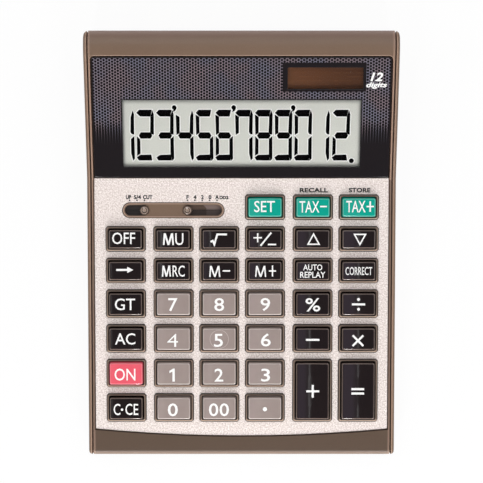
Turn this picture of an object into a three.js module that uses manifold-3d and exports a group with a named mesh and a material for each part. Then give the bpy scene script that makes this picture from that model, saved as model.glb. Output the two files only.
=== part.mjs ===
// Desktop calculator: a wedge-shaped moulded case, an aluminium key plate, a tilted display and
// 37 sprung keys. Millimetres, +Z up, +Y towards the back, origin under the middle of the case.
import * as THREE from "three";
import { mergeVertices } from "three/addons/utils/BufferGeometryUtils.js";
import Module from "manifold-3d";

const wasm = await Module();
wasm.setup();

// Key grid, measured along the key plate
const columnPitch = 22.3;
const columnGroupGap = 0.95;
const columnGroupShares = [-1, 0, 0, 0, 1, 1];
const columnWeb = 3.2;
const largeRowPitch = 17.1;
const smallRowPitch = 15.45;
const rowWeb = 3.45;
const gridShift = 0.3;

// Key plate
const plateThickness = 0.5;
const plateSideMargin = 5.25;
const plateFrontMargin = 7.1;
const plateRearMargin = 8.05;
const plateBow = 3.45;
const keypadTilt = THREE.MathUtils.degToRad(4.3);

// Display, measured along the display window
const lcdViewDepth = 31.4;
const lcdSideMargin = 14.3;
const lcdFrontMargin = 5.9;
const solarViewWidth = 38.4;
const solarViewDepth = 12.7;
const solarSideMargin = 12.8;
const solarGap = 5.75;
const windowRearMargin = 3.55;
const windowThickness = 1.5;
const windowCorner = 2;
const windowGap = 0.4;
const displayTilt = THREE.MathUtils.degToRad(17.9);

// Case mouldings
const underside = 1.2;
const floorWall = 1.8;
const shellWall = 1.6;
const deckWall = 1.4;
const bedWall = 1.5;
const cheekWall = 1.6;
const seamGap = 0.6;
const ridgeWall = 0.8;
const plateGap = 0.5;
const rimRise = 0.7;
const chinDepth = 9.4;
const chinRound = 3.6;
const chinDrop = 2.6;
const crestDepth = 13;
const crestSwell = 1;
const crestDrop = 7;
const backLean = 1;
const baseRound = 1.6;
const cheekRound = 0.9;
const frontCorner = 2.3;
const rearCorner = 3.8;
const frontPartingRise = 4.3;
const rearPartingRise = 14.8;
const kneeRib = 1.2;

// Clearances: seat is left between pieces that rest on each other, overrun carries a cut past a face
const seat = 0.3;
const boardClearance = 0.7;
const windowClearance = 0.25;
const overrun = 1;

// Keys and their collars
const collarWall = 1;
const collarRise = 1;
const collarCorner = 1;
const capRise = 3.4;
const capWall = 1.2;
const capCorner = 0.8;
const capBevel = 0.5;
const capDraft = 0.2;
const flangeLip = 0.9;
const flangeThickness = 0.8;
const plungerSize = 3.6;
const plungerCorner = 1;
const keyClearance = 0.3;
const keyTravel = 1.8;
const dishRadius = 4.8;
const dishDepth = 0.45;

// Rubber mat and circuit board
const domeSlack = 0.2;
const domeBaseRadius = 4.4;
const domeTopRadius = 2.6;
const matThickness = 0.6;
const boardThickness = 1.2;
const boardSideGap = 2.2;
const boardFrontMargin = 5;
const boardRearMargin = 4.5;
const guideRib = 1.2;
const chipSize = 12;
const chipThickness = 1.6;

// Slide switches
const switchStep = 3.6;
const roundingPlaces = 3;
const decimalPlaces = 5;
const knobRadius = 2.15;
const knobRise = 1;
const slotDepth = 5.05;
const slotSideGap = 0.2;
const slotEndMargin = 1.1;
const slotSpacing = 16.2;
const slotRecess = 1.5;
const switchBossRise = 0.2;
const switchForward = 1.5;
const stemWidth = 1.2;
const stemLength = 2.4;
const knobFootWidth = 4.2;
const knobFootLength = 5;
const knobFootThickness = 0.7;

// Display parts
const viewMargin = 0.4;
const glassLap = 1.6;
const lcdThickness = 2.2;
const solarThickness = 1.1;
const pocketRib = 1.2;
const ribbonWidth = 62;
const ribbonThickness = 0.2;
const ribbonLanding = 3;

// Battery, its bay and its door
const cellRadius = 7.25;
const cellLength = 50.5;
const nubRadius = 2.75;
const nubLength = 1;
const springLength = 5.5;
const springWire = 0.7;
const springRootRadius = 5.2;
const springTipRadius = 3.2;
const springTurns = 3;
const contactThickness = 0.4;
const contactSize = 10;
const bayWall = 2.2;
const bayHeight = 11;
const bayRearInset = 8;
const doorFlange = 0.8;
const doorFlangeLip = 0.8;
const doorLipHeight = 6.8;
const doorFrontLap = 1.4;

// Screws and feet
const screwSideInset = 11;
const frontScrewInset = 9.1;
const rearScrewInset = 8.2;
const screwHeadRadius = 2.5;
const screwHeadHeight = 1.7;
const screwShankRadius = 1.2;
const screwGap = 0.1;
const screwSeat = 3;
const screwBite = 2.2;
const bossWall = 1.4;
const frontBossRise = 3.2;
const rearBossRise = 12;
const postRadius = 3.2;
const footRadius = 5;
const footRecess = 0.8;
const footSpacing = 13;

// Counts of faces on curves
const profileSteps = 6;
const cheekSteps = 2;
const bowSteps = 10;
const roundSides = 16;
const smallSides = 10;
const slotSteps = 4;
const domeSides = 6;
const dishSteps = 2;
const wireSteps = 3;

// Rows of keys from the front to the back; an empty name leaves its place free
const largeRows = [
  ["clear", "0", "00", "point"],
  ["on", "1", "2", "3"],
  ["ac", "4", "5", "6", "minus", "multiply"],
  ["gt", "7", "8", "9", "percent", "divide"],
];
const smallRows = [
  ["backspace", "mrc", "m_minus", "m_plus", "auto_replay", "correct"],
  ["off", "mu", "root", "sign", "step_up", "step_down"],
  ["", "", "", "set", "tax_minus", "tax_plus"],
];
const tallNames = ["", "", "", "", "plus", "equals"];
const dishedName = "5";

const brown = { color: 0x7b695e, roughness: 0.5, metalness: 0 };
const champagne = { color: 0xe9dcd0, roughness: 0.35, metalness: 0.8 };
const darkKey = { color: 0x29201f, roughness: 0.25, metalness: 0 };
const greyKey = { color: 0x9b8b85, roughness: 0.3, metalness: 0 };
const greenKey = { color: 0x0aa68c, roughness: 0.3, metalness: 0 };
const pinkKey = { color: 0xec6070, roughness: 0.3, metalness: 0 };
const blackAcrylic = { color: 0x2a2329, roughness: 0.1, metalness: 0 };
const greyGlass = { color: 0xc8c8c1, roughness: 0.3, metalness: 0 };
const brownGlass = { color: 0x5a3d2c, roughness: 0.2, metalness: 0 };
const greenBoard = { color: 0x2f6b45, roughness: 0.6, metalness: 0 };
const greySilicone = { color: 0x6f6f70, roughness: 0.8, metalness: 0 };
const amberFilm = { color: 0xb07a30, roughness: 0.5, metalness: 0 };
const blackRubber = { color: 0x222222, roughness: 0.9, metalness: 0 };
const zincSteel = { color: 0xb9b9bb, roughness: 0.35, metalness: 1 };
const cellJacket = { color: 0x3a4a6a, roughness: 0.4, metalness: 0.5 };
const finishOfKey = {
  set: greenKey,
  tax_minus: greenKey,
  tax_plus: greenKey,
  on: pinkKey,
  point: greyKey,
};

// Key grid worked out from the pitches
const collarWidth = columnPitch - columnWeb;
const rows = [
  ...largeRows.map((names) => ({ names, pitch: largeRowPitch })),
  ...smallRows.map((names) => ({ names, pitch: smallRowPitch })),
];
rows.forEach((row, index) => {
  const before = rows[index - 1];
  row.depth = row.pitch - rowWeb;
  row.y = before ? before.y + (before.pitch + row.pitch) / 2 : plateFrontMargin + row.depth / 2;
});
const [firstRow, secondRow] = rows;
const lastRow = rows[rows.length - 1];
const columns = columnGroupShares.map((share, index) => {
  const middle = (columnGroupShares.length - 1) / 2;
  return gridShift + (index - middle) * columnPitch + share * columnGroupGap;
});
const tallRow = {
  names: tallNames,
  y: (firstRow.y + secondRow.y) / 2,
  depth: secondRow.y - firstRow.y + firstRow.depth,
};
const keys = [...rows, tallRow].flatMap((row) =>
  row.names
    .map((name, index) => ({ name, x: columns[index], y: row.y, width: collarWidth, depth: row.depth }))
    .filter((key) => key.name !== ""),
);

// Heights in the key plate's own frame, where z = 0 is the top of the plate
const deckTop = -(plateThickness + seat);
const deckUnderside = deckTop - deckWall;
const flangeTop = deckUnderside - seat;
const plungerEnd = flangeTop - flangeThickness;
const domeTop = plungerEnd - seat;
const matTop = domeTop - keyTravel - domeSlack;
const matUnderside = matTop - matThickness;
const boardTop = matUnderside - seat;
const boardUnderside = boardTop - boardThickness;

// Heights in the display's own frame, where z = 0 is the top of the window
const bedTop = -(windowThickness + seat);
const bedUnderside = bedTop - bedWall;
const glassTop = bedUnderside - seat;

// The case as a whole
const plateWidth = columns[columns.length - 1] - columns[0] + collarWidth + 2 * plateSideMargin;
const plateLength = lastRow.y + lastRow.depth / 2 + plateRearMargin;
const windowLength = lcdFrontMargin + lcdViewDepth + solarGap + solarViewDepth + windowRearMargin;
const recessHalf = plateWidth / 2 + plateGap;
const ridgeOuter = recessHalf + ridgeWall;
const shellInner = ridgeOuter - shellWall;
const cheekInner = ridgeOuter + seamGap;
const caseHalf = cheekInner + cheekWall;
const keypadRun = plateLength * Math.cos(keypadTilt);
const displayRun = (windowGap + windowLength) * Math.cos(displayTilt);
const caseLength = chinDepth + keypadRun + displayRun + crestDepth;
const caseFront = -caseLength / 2;
const caseBack = caseLength / 2;
const plateFront = caseFront + chinDepth;
const frontHeight = underside + floorWall + boardClearance - boardUnderside;
const knee = plateFront + keypadRun;
const kneeHeight = frontHeight + plateLength * Math.sin(keypadTilt);
const crest = knee + displayRun;
const crestRim = kneeHeight + (windowGap + windowLength) * Math.sin(displayTilt) + rimRise;
const crestTop = crestRim + crestSwell;
const floorTop = underside + floorWall;

const deckFrame = new THREE.Matrix4().makeRotationX(keypadTilt).setPosition(0, plateFront, frontHeight);
const bedFrame = new THREE.Matrix4().makeRotationX(displayTilt).setPosition(0, knee, kneeHeight);

// Height at a place y of a plane that lies a given way above the plate or the window
function deckHeight(y, above) {
  return frontHeight + (y - plateFront) * Math.tan(keypadTilt) + above / Math.cos(keypadTilt);
}

function bedHeight(y, above) {
  return kneeHeight + (y - knee) * Math.tan(displayTilt) + above / Math.cos(displayTilt);
}

// Height of the joint between the two case halves
function partingHeight(y) {
  const share = (y - caseFront) / caseLength;
  return underside + THREE.MathUtils.lerp(frontPartingRise, rearPartingRise, share);
}

// A closed geometry, moved by a matrix where one is given, as a solid to cut and join
function solidOf(geometry, matrix = new THREE.Matrix4()) {
  const bare = geometry.clone().applyMatrix4(matrix);
  bare.deleteAttribute("normal");
  bare.deleteAttribute("uv");
  const merged = mergeVertices(bare);
  const vertProperties = merged.attributes.position.array;
  const triVerts = new Uint32Array(merged.index.array);
  return new wasm.Manifold(new wasm.Mesh({ numProp: 3, vertProperties, triVerts }));
}

function geometryOf(solid) {
  const { vertProperties, triVerts } = solid.getMesh();
  const geometry = new THREE.BufferGeometry();
  geometry.setAttribute("position", new THREE.BufferAttribute(vertProperties, 3));
  geometry.setIndex(new THREE.BufferAttribute(triVerts, 1));
  const faceted = geometry.toNonIndexed();
  faceted.computeVertexNormals();
  return faceted;
}

function piece(name, geometry, finish) {
  const mesh = new THREE.Mesh(geometry, new THREE.MeshStandardMaterial(finish));
  mesh.name = name;
  return mesh;
}

// A flat outline pulled up from one height to another
function prism(outline, low, high, steps = 1) {
  const depth = high - low;
  const geometry = new THREE.ExtrudeGeometry(outline, { depth, bevelEnabled: false, curveSegments: steps });
  return geometry.translate(0, 0, low);
}

// A side outline, x to the back and y up, pulled across the case and centred on it
function crosswise(outline, half, round = 0) {
  const depth = 2 * (half - round);
  const geometry = new THREE.ExtrudeGeometry(outline, {
    depth,
    curveSegments: profileSteps,
    bevelEnabled: round > 0,
    bevelThickness: round,
    bevelSize: round,
    bevelOffset: -round,
    bevelSegments: cheekSteps,
  });
  const toSide = new THREE.Matrix4().makeBasis(
    new THREE.Vector3(0, 1, 0),
    new THREE.Vector3(0, 0, 1),
    new THREE.Vector3(1, 0, 0),
  );
  return geometry.translate(0, 0, -depth / 2).applyMatrix4(toSide);
}

function block(x0, x1, y0, y1, z0, z1) {
  const geometry = new THREE.BoxGeometry(x1 - x0, y1 - y0, z1 - z0);
  return geometry.translate((x0 + x1) / 2, (y0 + y1) / 2, (z0 + z1) / 2);
}

function cylinder(x, y, radius, low, high, sides = roundSides) {
  const geometry = new THREE.CylinderGeometry(radius, radius, high - low, sides);
  return geometry.rotateX(Math.PI / 2).translate(x, y, (low + high) / 2);
}

// A rectangle around a place, with its corners cut off
function clippedRectangle(x, y, width, depth, corner) {
  const outline = new THREE.Shape();
  addClipped(outline, x, y, width, depth, corner);
  return outline;
}

function addClipped(path, x, y, width, depth, corner) {
  const [left, right, front, back] = [x - width / 2, x + width / 2, y - depth / 2, y + depth / 2];
  path.moveTo(left + corner, front);
  path.lineTo(right - corner, front);
  path.lineTo(right, front + corner);
  path.lineTo(right, back - corner);
  path.lineTo(right - corner, back);
  path.lineTo(left + corner, back);
  path.lineTo(left, back - corner);
  path.lineTo(left, front + corner);
  path.closePath();
}

// A slot with round ends
function addStadium(path, x, y, width, depth) {
  const radius = depth / 2;
  const reach = width / 2 - radius;
  path.absarc(x + reach, y, radius, -Math.PI / 2, Math.PI / 2, false);
  path.absarc(x - reach, y, radius, Math.PI / 2, (3 * Math.PI) / 2, false);
  path.closePath();
}

function stadium(x, y, width, depth) {
  const outline = new THREE.Shape();
  addStadium(outline, x, y, width, depth);
  return outline;
}

// Skins a run of rings with equal counts of points and closes its two ends
function loft(rings) {
  const positions = [];
  const addFace = (...points) => points.forEach((point) => positions.push(...point.toArray()));
  rings.slice(1).forEach((upper, level) => {
    const lower = rings[level];
    lower.forEach((point, index) => {
      const next = (index + 1) % lower.length;
      addFace(point, lower[next], upper[next]);
      addFace(point, upper[next], upper[index]);
    });
  });
  const bottom = rings[0];
  const top = rings[rings.length - 1];
  for (let index = 1; index + 1 < bottom.length; index++) {
    addFace(bottom[0], bottom[index + 1], bottom[index]);
    addFace(top[0], top[index], top[index + 1]);
  }
  const geometry = new THREE.BufferGeometry();
  geometry.setAttribute("position", new THREE.Float32BufferAttribute(positions, 3));
  geometry.computeVertexNormals();
  return geometry;
}

function ring(width, depth, corner, z) {
  const outline = clippedRectangle(0, 0, width, depth, corner);
  const points = outline.getPoints().slice(0, -1);
  return points.map((point) => new THREE.Vector3(point.x, point.y, z));
}

// Side outline of the closed case
function caseProfile() {
  const chinEdge = caseFront + chinRound;
  const chinTop = deckHeight(chinEdge, rimRise);
  const swellRun = crestSwell / Math.tan(displayTilt);
  const outline = new THREE.Shape();
  outline.moveTo(caseFront + baseRound, underside);
  outline.quadraticCurveTo(caseFront, underside, caseFront, underside + baseRound);
  outline.lineTo(caseFront, chinTop - chinDrop);
  outline.quadraticCurveTo(caseFront, chinTop, chinEdge, chinTop);
  outline.lineTo(knee, kneeHeight + rimRise);
  outline.lineTo(crest, crestRim);
  outline.quadraticCurveTo(crest + swellRun, crestTop, crest + 2 * swellRun, crestTop);
  outline.quadraticCurveTo(caseBack, crestTop, caseBack, crestTop - crestDrop);
  outline.lineTo(caseBack - backLean, underside + baseRound);
  outline.quadraticCurveTo(caseBack - backLean, underside, caseBack - backLean - baseRound, underside);
  outline.closePath();
  return outline;
}

// Top view of the case with its round corners
function planOutline() {
  const outline = new THREE.Shape();
  outline.moveTo(-caseHalf + frontCorner, caseFront);
  outline.lineTo(caseHalf - frontCorner, caseFront);
  outline.quadraticCurveTo(caseHalf, caseFront, caseHalf, caseFront + frontCorner);
  outline.lineTo(caseHalf, caseBack - rearCorner);
  outline.quadraticCurveTo(caseHalf, caseBack, caseHalf - rearCorner, caseBack);
  outline.lineTo(-caseHalf + rearCorner, caseBack);
  outline.quadraticCurveTo(-caseHalf, caseBack, -caseHalf, caseBack - rearCorner);
  outline.lineTo(-caseHalf, caseFront + frontCorner);
  outline.quadraticCurveTo(-caseHalf, caseFront, -caseHalf + frontCorner, caseFront);
  return outline;
}

const planSolid = solidOf(prism(planOutline(), -overrun, crestTop + overrun, profileSteps));

// Hollow under the deck, the display bed and the crest
function upperHollow() {
  const front = caseFront + shellWall;
  const step = knee - kneeRib;
  const crestFront = crest + plateGap + shellWall;
  const swellRun = crestSwell / Math.tan(displayTilt);
  const outline = new THREE.Shape();
  outline.moveTo(front, 0);
  outline.lineTo(front, deckHeight(front, deckUnderside));
  outline.lineTo(step, deckHeight(step, deckUnderside));
  outline.lineTo(step, bedHeight(step, bedUnderside));
  outline.lineTo(crestFront, bedHeight(crestFront, bedUnderside));
  outline.lineTo(crestFront, crestTop - shellWall - crestSwell);
  outline.lineTo(crest + 2 * swellRun, crestTop - shellWall);
  outline.lineTo(caseBack - shellWall, crestTop - crestDrop);
  outline.lineTo(caseBack - backLean - shellWall, 0);
  outline.closePath();
  return outline;
}

// Everything below, or above, the joint between the case halves
function besideParting(shift, far) {
  const outline = new THREE.Shape();
  const front = caseFront - overrun;
  const back = caseBack + overrun;
  outline.moveTo(front, far);
  outline.lineTo(front, partingHeight(front) + shift);
  outline.lineTo(back, partingHeight(back) + shift);
  outline.lineTo(back, far);
  outline.closePath();
  return outline;
}

// The key plate's outline, bowed at the front, grown by a gap all round
function plateOutline(gap) {
  const half = plateWidth / 2 + gap;
  const outline = new THREE.Shape();
  outline.moveTo(-half, plateBow - gap);
  outline.quadraticCurveTo(0, -plateBow - gap, half, plateBow - gap);
  outline.lineTo(half, plateLength + gap);
  outline.lineTo(-half, plateLength + gap);
  outline.closePath();
  return outline;
}

// The display window's outline, round at its back corners, grown by a gap all round
function windowOutline(gap) {
  const half = plateWidth / 2 + gap;
  const corner = windowCorner + gap;
  const front = windowGap - gap;
  const back = windowGap + windowLength + gap;
  const outline = new THREE.Shape();
  outline.moveTo(-half, front);
  outline.lineTo(half, front);
  outline.lineTo(half, back - corner);
  outline.quadraticCurveTo(half, back, half - corner, back);
  outline.lineTo(-half + corner, back);
  outline.quadraticCurveTo(-half, back, -half, back - corner);
  outline.closePath();
  return outline;
}

// Openings seen through the display window, in its own frame
const lcdView = {
  x: 0,
  y: windowGap + lcdFrontMargin + lcdViewDepth / 2,
  width: plateWidth - 2 * lcdSideMargin + 2 * viewMargin,
  depth: lcdViewDepth + 2 * viewMargin,
};
const solarView = {
  x: plateWidth / 2 - solarSideMargin - solarViewWidth / 2,
  y: windowGap + lcdFrontMargin + lcdViewDepth + solarGap + solarViewDepth / 2,
  width: solarViewWidth + 2 * viewMargin,
  depth: solarViewDepth + 2 * viewMargin,
};

function viewBlock(view, grow, low, high) {
  const halfWidth = view.width / 2 + grow;
  const halfDepth = view.depth / 2 + grow;
  return block(view.x - halfWidth, view.x + halfWidth, view.y - halfDepth, view.y + halfDepth, low, high);
}

// A glass held under the bed, with a pane that rises through the opening to the window
function viewGlass(view, thickness) {
  const held = viewBlock(view, glassLap, glassTop - thickness, glassTop);
  const pane = viewBlock(view, -seat, glassTop - thickness / 2, bedTop);
  return geometryOf(solidOf(held).add(solidOf(pane)));
}

// Slide switches: two slots side by side in one boss; a knob rests at one end of its places
function slideSwitch(places) {
  const travel = (places - 1) * switchStep;
  return { travel, length: travel + 2 * (knobRadius + slotSideGap), y: lastRow.y - switchForward };
}

const roundingSwitch = slideSwitch(roundingPlaces);
const decimalSwitch = slideSwitch(decimalPlaces);
const slideSwitches = [roundingSwitch, decimalSwitch];
const switchBoss = {
  x: columns[1],
  y: lastRow.y - switchForward,
  width: roundingSwitch.length + slotSpacing + decimalSwitch.length + 2 * slotEndMargin,
  depth: slotDepth + 2 * slotEndMargin,
};
const slotReach = switchBoss.width / 2 - slotEndMargin;
roundingSwitch.x = switchBoss.x - slotReach + roundingSwitch.length / 2;
roundingSwitch.knobX = roundingSwitch.x + roundingSwitch.travel / 2;
decimalSwitch.x = switchBoss.x + slotReach - decimalSwitch.length / 2;
decimalSwitch.knobX = decimalSwitch.x - decimalSwitch.travel / 2;

// Screw places, and what the two case halves put around each screw
const screws = [-1, 1].flatMap((side) => {
  const x = side * (caseHalf - screwSideInset);
  return [
    { x, y: caseFront + frontScrewInset, bossTop: floorTop + frontBossRise, end: "front" },
    { x, y: caseBack - rearScrewInset, bossTop: floorTop + rearBossRise, end: "rear" },
  ];
});
const bossRadius = screwHeadRadius + seat + bossWall;

// Battery bay, along X near the back
const bayHalf = (cellLength + springLength + contactThickness) / 2 + 2 * seat;
const bayDepth = 2 * (cellRadius + seat);
const bayRear = caseBack - bayRearInset;
const bayFront = bayRear - bayDepth;
const doorFront = bayFront - doorFrontLap;
const doorHalf = bayHalf - seat;
const doorLipTop = underside + doorLipHeight;

function upperCase() {
  let shell = solidOf(crosswise(caseProfile(), ridgeOuter));
  const join = (geometry, frame) => {
    shell = shell.add(solidOf(geometry, frame));
  };
  const cut = (geometry, frame) => {
    shell = shell.subtract(solidOf(geometry, frame));
  };
  shell = shell.intersect(planSolid);
  cut(crosswise(besideParting(0, -overrun), ridgeOuter + overrun));
  cut(crosswise(upperHollow(), shellInner));
  const inDeck = deckTop - deckWall / 2;
  const inBed = bedTop - bedWall / 2;
  guideRibs(inDeck).forEach((rib) => join(rib, deckFrame));
  [
    { view: lcdView, thickness: lcdThickness },
    { view: solarView, thickness: solarThickness },
  ].forEach(({ view, thickness }) => {
    const glass = glassLap + seat;
    join(viewBlock(view, glass + pocketRib, glassTop - thickness, inBed), bedFrame);
    cut(viewBlock(view, glass, glassTop - thickness - overrun, bedUnderside), bedFrame);
    cut(viewBlock(view, 0, bedUnderside - overrun, bedTop + overrun), bedFrame);
  });
  screws.forEach(({ x, y, bossTop, end }) => {
    const low = bossTop + seat;
    const high = end === "front" ? deckHeight(y, inDeck) : crestTop - crestSwell - shellWall / 2;
    join(cylinder(x, y, postRadius, low, high, smallSides));
    cut(cylinder(x, y, screwShankRadius + screwGap, low - overrun, low + screwBite + seat, smallSides));
  });
  cut(prism(plateOutline(plateGap), deckTop, crestTop, bowSteps), deckFrame);
  cut(prism(windowOutline(plateGap), bedTop, crestTop, profileSteps), bedFrame);
  keys.forEach(({ x, y, width, depth }) => {
    join(prism(clippedRectangle(x, y, width, depth, collarCorner), inDeck, collarRise), deckFrame);
    const bore = clippedRectangle(x, y, width - 2 * collarWall, depth - 2 * collarWall, capCorner);
    cut(prism(bore, deckUnderside - overrun, collarRise + overrun), deckFrame);
  });
  const { x, y, width, depth } = switchBoss;
  join(prism(stadium(x, y, width, depth), inDeck, switchBossRise, slotSteps), deckFrame);
  slideSwitches.forEach((slide) => {
    const slot = stadium(slide.x, slide.y, slide.length, slotDepth);
    cut(prism(slot, switchBossRise - slotRecess, switchBossRise + overrun, slotSteps), deckFrame);
    const halfSlit = (slide.travel + stemLength) / 2 + seat;
    const halfStem = stemWidth / 2 + seat;
    const slit = [slide.x - halfSlit, slide.x + halfSlit, slide.y - halfStem, slide.y + halfStem];
    cut(block(...slit, deckUnderside - overrun, switchBossRise), deckFrame);
  });
  return shell;
}

// Ribs under the deck between the rows, which press the rubber mat onto the board
function guideRibs(top) {
  const clearOfTall = (columns[3] + columns[4]) / 2;
  return rows.slice(1).map((row, index) => {
    const y = (row.y + rows[index].y) / 2;
    const left = -shellInner - ridgeWall;
    const right = index === 0 ? clearOfTall : shellInner + ridgeWall;
    return block(left, right, y - guideRib / 2, y + guideRib / 2, matTop + seat, top);
  });
}

function lowerCase() {
  let tub = solidOf(crosswise(caseProfile(), caseHalf, cheekRound)).intersect(planSolid);
  const join = (geometry) => {
    tub = tub.add(solidOf(geometry));
  };
  const cut = (geometry) => {
    tub = tub.subtract(solidOf(geometry));
  };
  const high = crestTop + overrun;
  cut(crosswise(besideParting(-seat, high), cheekInner));
  const front = caseFront + shellWall;
  const back = caseBack - backLean - shellWall;
  cut(block(-cheekInner, cheekInner, front, back, floorTop, high));
  boardRibs().forEach(join);
  const inFloor = underside + floorWall / 2;
  screws.forEach(({ x, y, bossTop }) => join(cylinder(x, y, bossRadius, inFloor, bossTop, smallSides)));
  screws.forEach(({ x, y, bossTop }) => {
    cut(cylinder(x, y, screwHeadRadius + seat, -overrun, bossTop - screwSeat, smallSides));
    cut(cylinder(x, y, screwShankRadius + seat, -overrun, bossTop + overrun, smallSides));
  });
  const recessTop = underside + footRecess;
  feetPlaces().forEach(({ x, y }) => cut(cylinder(x, y, footRadius + seat, -overrun, recessTop)));
  const wallEnd = bayHalf + bayWall;
  join(block(-wallEnd, wallEnd, bayFront - bayWall, bayRear + bayWall, inFloor, floorTop + bayHeight));
  cut(block(-bayHalf, bayHalf, bayFront, bayRear, -overrun, high));
  const slotHalf = doorHalf + doorFlangeLip + seat;
  const behind = caseBack + overrun;
  const ledge = floorTop - doorFlange - seat;
  cut(block(-bayHalf, bayHalf, doorFront - seat, behind, -overrun, floorTop + seat));
  cut(block(-slotHalf, slotHalf, doorFront - seat, behind, ledge, floorTop + seat));
  cut(block(-bayHalf, bayHalf, bayRear + bayWall, behind, -overrun, doorLipTop + seat));
  return tub;
}

// Ribs along the floor that carry the board
function boardRibs() {
  const front = plateFront + boardFrontMargin;
  const back = knee - boardRearMargin;
  const outline = new THREE.Shape();
  outline.moveTo(front, underside + floorWall / 2);
  outline.lineTo(front, deckHeight(front, boardUnderside - seat));
  outline.lineTo(back, deckHeight(back, boardUnderside - seat));
  outline.lineTo(back, underside + floorWall / 2);
  outline.closePath();
  const spread = columns[4] + columnPitch / 2;
  return [-spread, 0, spread].map((x) => crosswise(outline, guideRib / 2).translate(x, 0, 0));
}

function feetPlaces() {
  return screws.map(({ x, y, end }) => {
    const inward = end === "front" ? footSpacing : -footSpacing;
    return { x, y: y + inward, end };
  });
}

function facePlate() {
  const outline = plateOutline(0);
  const addWindow = (add) => {
    const hole = new THREE.Path();
    add(hole);
    outline.holes.push(hole);
  };
  const gap = 2 * windowClearance;
  keys.forEach(({ x, y, width, depth }) => {
    addWindow((hole) => addClipped(hole, x, y, width + gap, depth + gap, collarCorner));
  });
  const { x, y, width, depth } = switchBoss;
  addWindow((hole) => addStadium(hole, x, y, width + gap, depth + gap));
  return prism(outline, -plateThickness, 0, bowSteps);
}

// A hollow key cap with a guide flange round its foot and a plunger down its middle
function keyCap({ name, width, depth }) {
  const bore = 2 * (collarWall + keyClearance);
  const foot = [width - bore, depth - bore];
  const grown = (grow, corner, z) => ring(foot[0] + 2 * grow, foot[1] + 2 * grow, corner, z);
  const ceiling = capRise - capWall;
  const cap = loft([
    ring(plungerSize, plungerSize, plungerCorner, plungerEnd),
    ring(plungerSize, plungerSize, plungerCorner, ceiling),
    grown(-capDraft - capWall, capCorner, ceiling),
    grown(-capWall, capCorner, plungerEnd),
    grown(flangeLip, capCorner, plungerEnd),
    grown(flangeLip, capCorner, flangeTop),
    grown(0, capCorner, flangeTop),
    grown(-capDraft, capCorner, capRise - capBevel),
    grown(-capDraft - capBevel, capCorner, capRise),
  ]);
  return name === dishedName ? geometryOf(solidOf(cap).subtract(fingerDish())) : cap;
}

// A shallow dish that marks the middle key
function fingerDish() {
  const sphere = (dishRadius ** 2 + dishDepth ** 2) / (2 * dishDepth);
  const edge = Math.asin(dishRadius / sphere);
  const middle = capRise + sphere - dishDepth;
  const arc = new THREE.Path().absarc(0, middle, sphere, -Math.PI / 2, edge - Math.PI / 2);
  const profile = [...arc.getPoints(dishSteps), new THREE.Vector2(dishRadius, capRise + overrun)];
  profile.push(new THREE.Vector2(0, capRise + overrun));
  return solidOf(new THREE.LatheGeometry(profile, roundSides).rotateX(Math.PI / 2));
}

// A slide switch's knob, with its stem and the foot under the deck
function switchKnob() {
  const seatHeight = switchBossRise - slotRecess + seat;
  const footTop = deckUnderside - seat;
  const footLow = footTop - knobFootThickness;
  const halfStem = [stemLength / 2, stemWidth / 2];
  const halfFoot = [knobFootLength / 2, knobFootWidth / 2];
  const top = solidOf(cylinder(0, 0, knobRadius, seatHeight, switchBossRise + knobRise));
  const stem = block(-halfStem[0], halfStem[0], -halfStem[1], halfStem[1], footLow, seatHeight + knobRise);
  const foot = block(-halfFoot[0], halfFoot[0], -halfFoot[1], halfFoot[1], footLow, footTop);
  return top.add(solidOf(stem)).add(solidOf(foot));
}

// One silicone sheet with a sprung dome under every key
function rubberMat() {
  const reach = collarWidth / 2;
  const front = firstRow.y - firstRow.depth / 2;
  const back = lastRow.y + lastRow.depth / 2;
  const notchBack = (lastRow.y + rows[rows.length - 2].y) / 2 - guideRib;
  const notchRight = (columns[2] + columns[3]) / 2;
  const left = columns[0] - reach;
  const right = columns[columns.length - 1] + reach;
  const outline = new THREE.Shape();
  outline.moveTo(left, front);
  outline.lineTo(right, front);
  outline.lineTo(right, back);
  outline.lineTo(notchRight, back);
  outline.lineTo(notchRight, notchBack);
  outline.lineTo(left, notchBack);
  outline.closePath();
  let mat = solidOf(prism(outline, matUnderside, matTop));
  keys.forEach(({ x, y }) => {
    const height = domeTop - matTop + matThickness / 2;
    const dome = new THREE.CylinderGeometry(domeTopRadius, domeBaseRadius, height, domeSides);
    mat = mat.add(solidOf(dome.rotateX(Math.PI / 2).translate(x, y, domeTop - height / 2)));
  });
  return mat;
}

// The board with its chip underneath and two slide switch bodies on top
function mainBoard() {
  const half = shellInner - boardSideGap;
  const back = plateLength - boardRearMargin;
  let board = solidOf(block(-half, half, boardFrontMargin, back, boardUnderside, boardTop));
  const chipX = columns[4] - columnPitch / 2;
  const chipY = lastRow.y;
  const chip = clippedRectangle(chipX, chipY, chipSize, chipSize, collarCorner);
  const inBoard = boardTop - boardThickness / 2;
  board = board.add(solidOf(prism(chip, boardUnderside - chipThickness, inBoard)));
  const bodyTop = deckUnderside - 2 * seat - knobFootThickness;
  slideSwitches.forEach(({ x, y, length }) => {
    const halfDepth = slotDepth / 2;
    const body = block(x - length / 2, x + length / 2, y - halfDepth, y + halfDepth, inBoard, bodyTop);
    board = board.add(solidOf(body));
  });
  return board;
}

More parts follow.
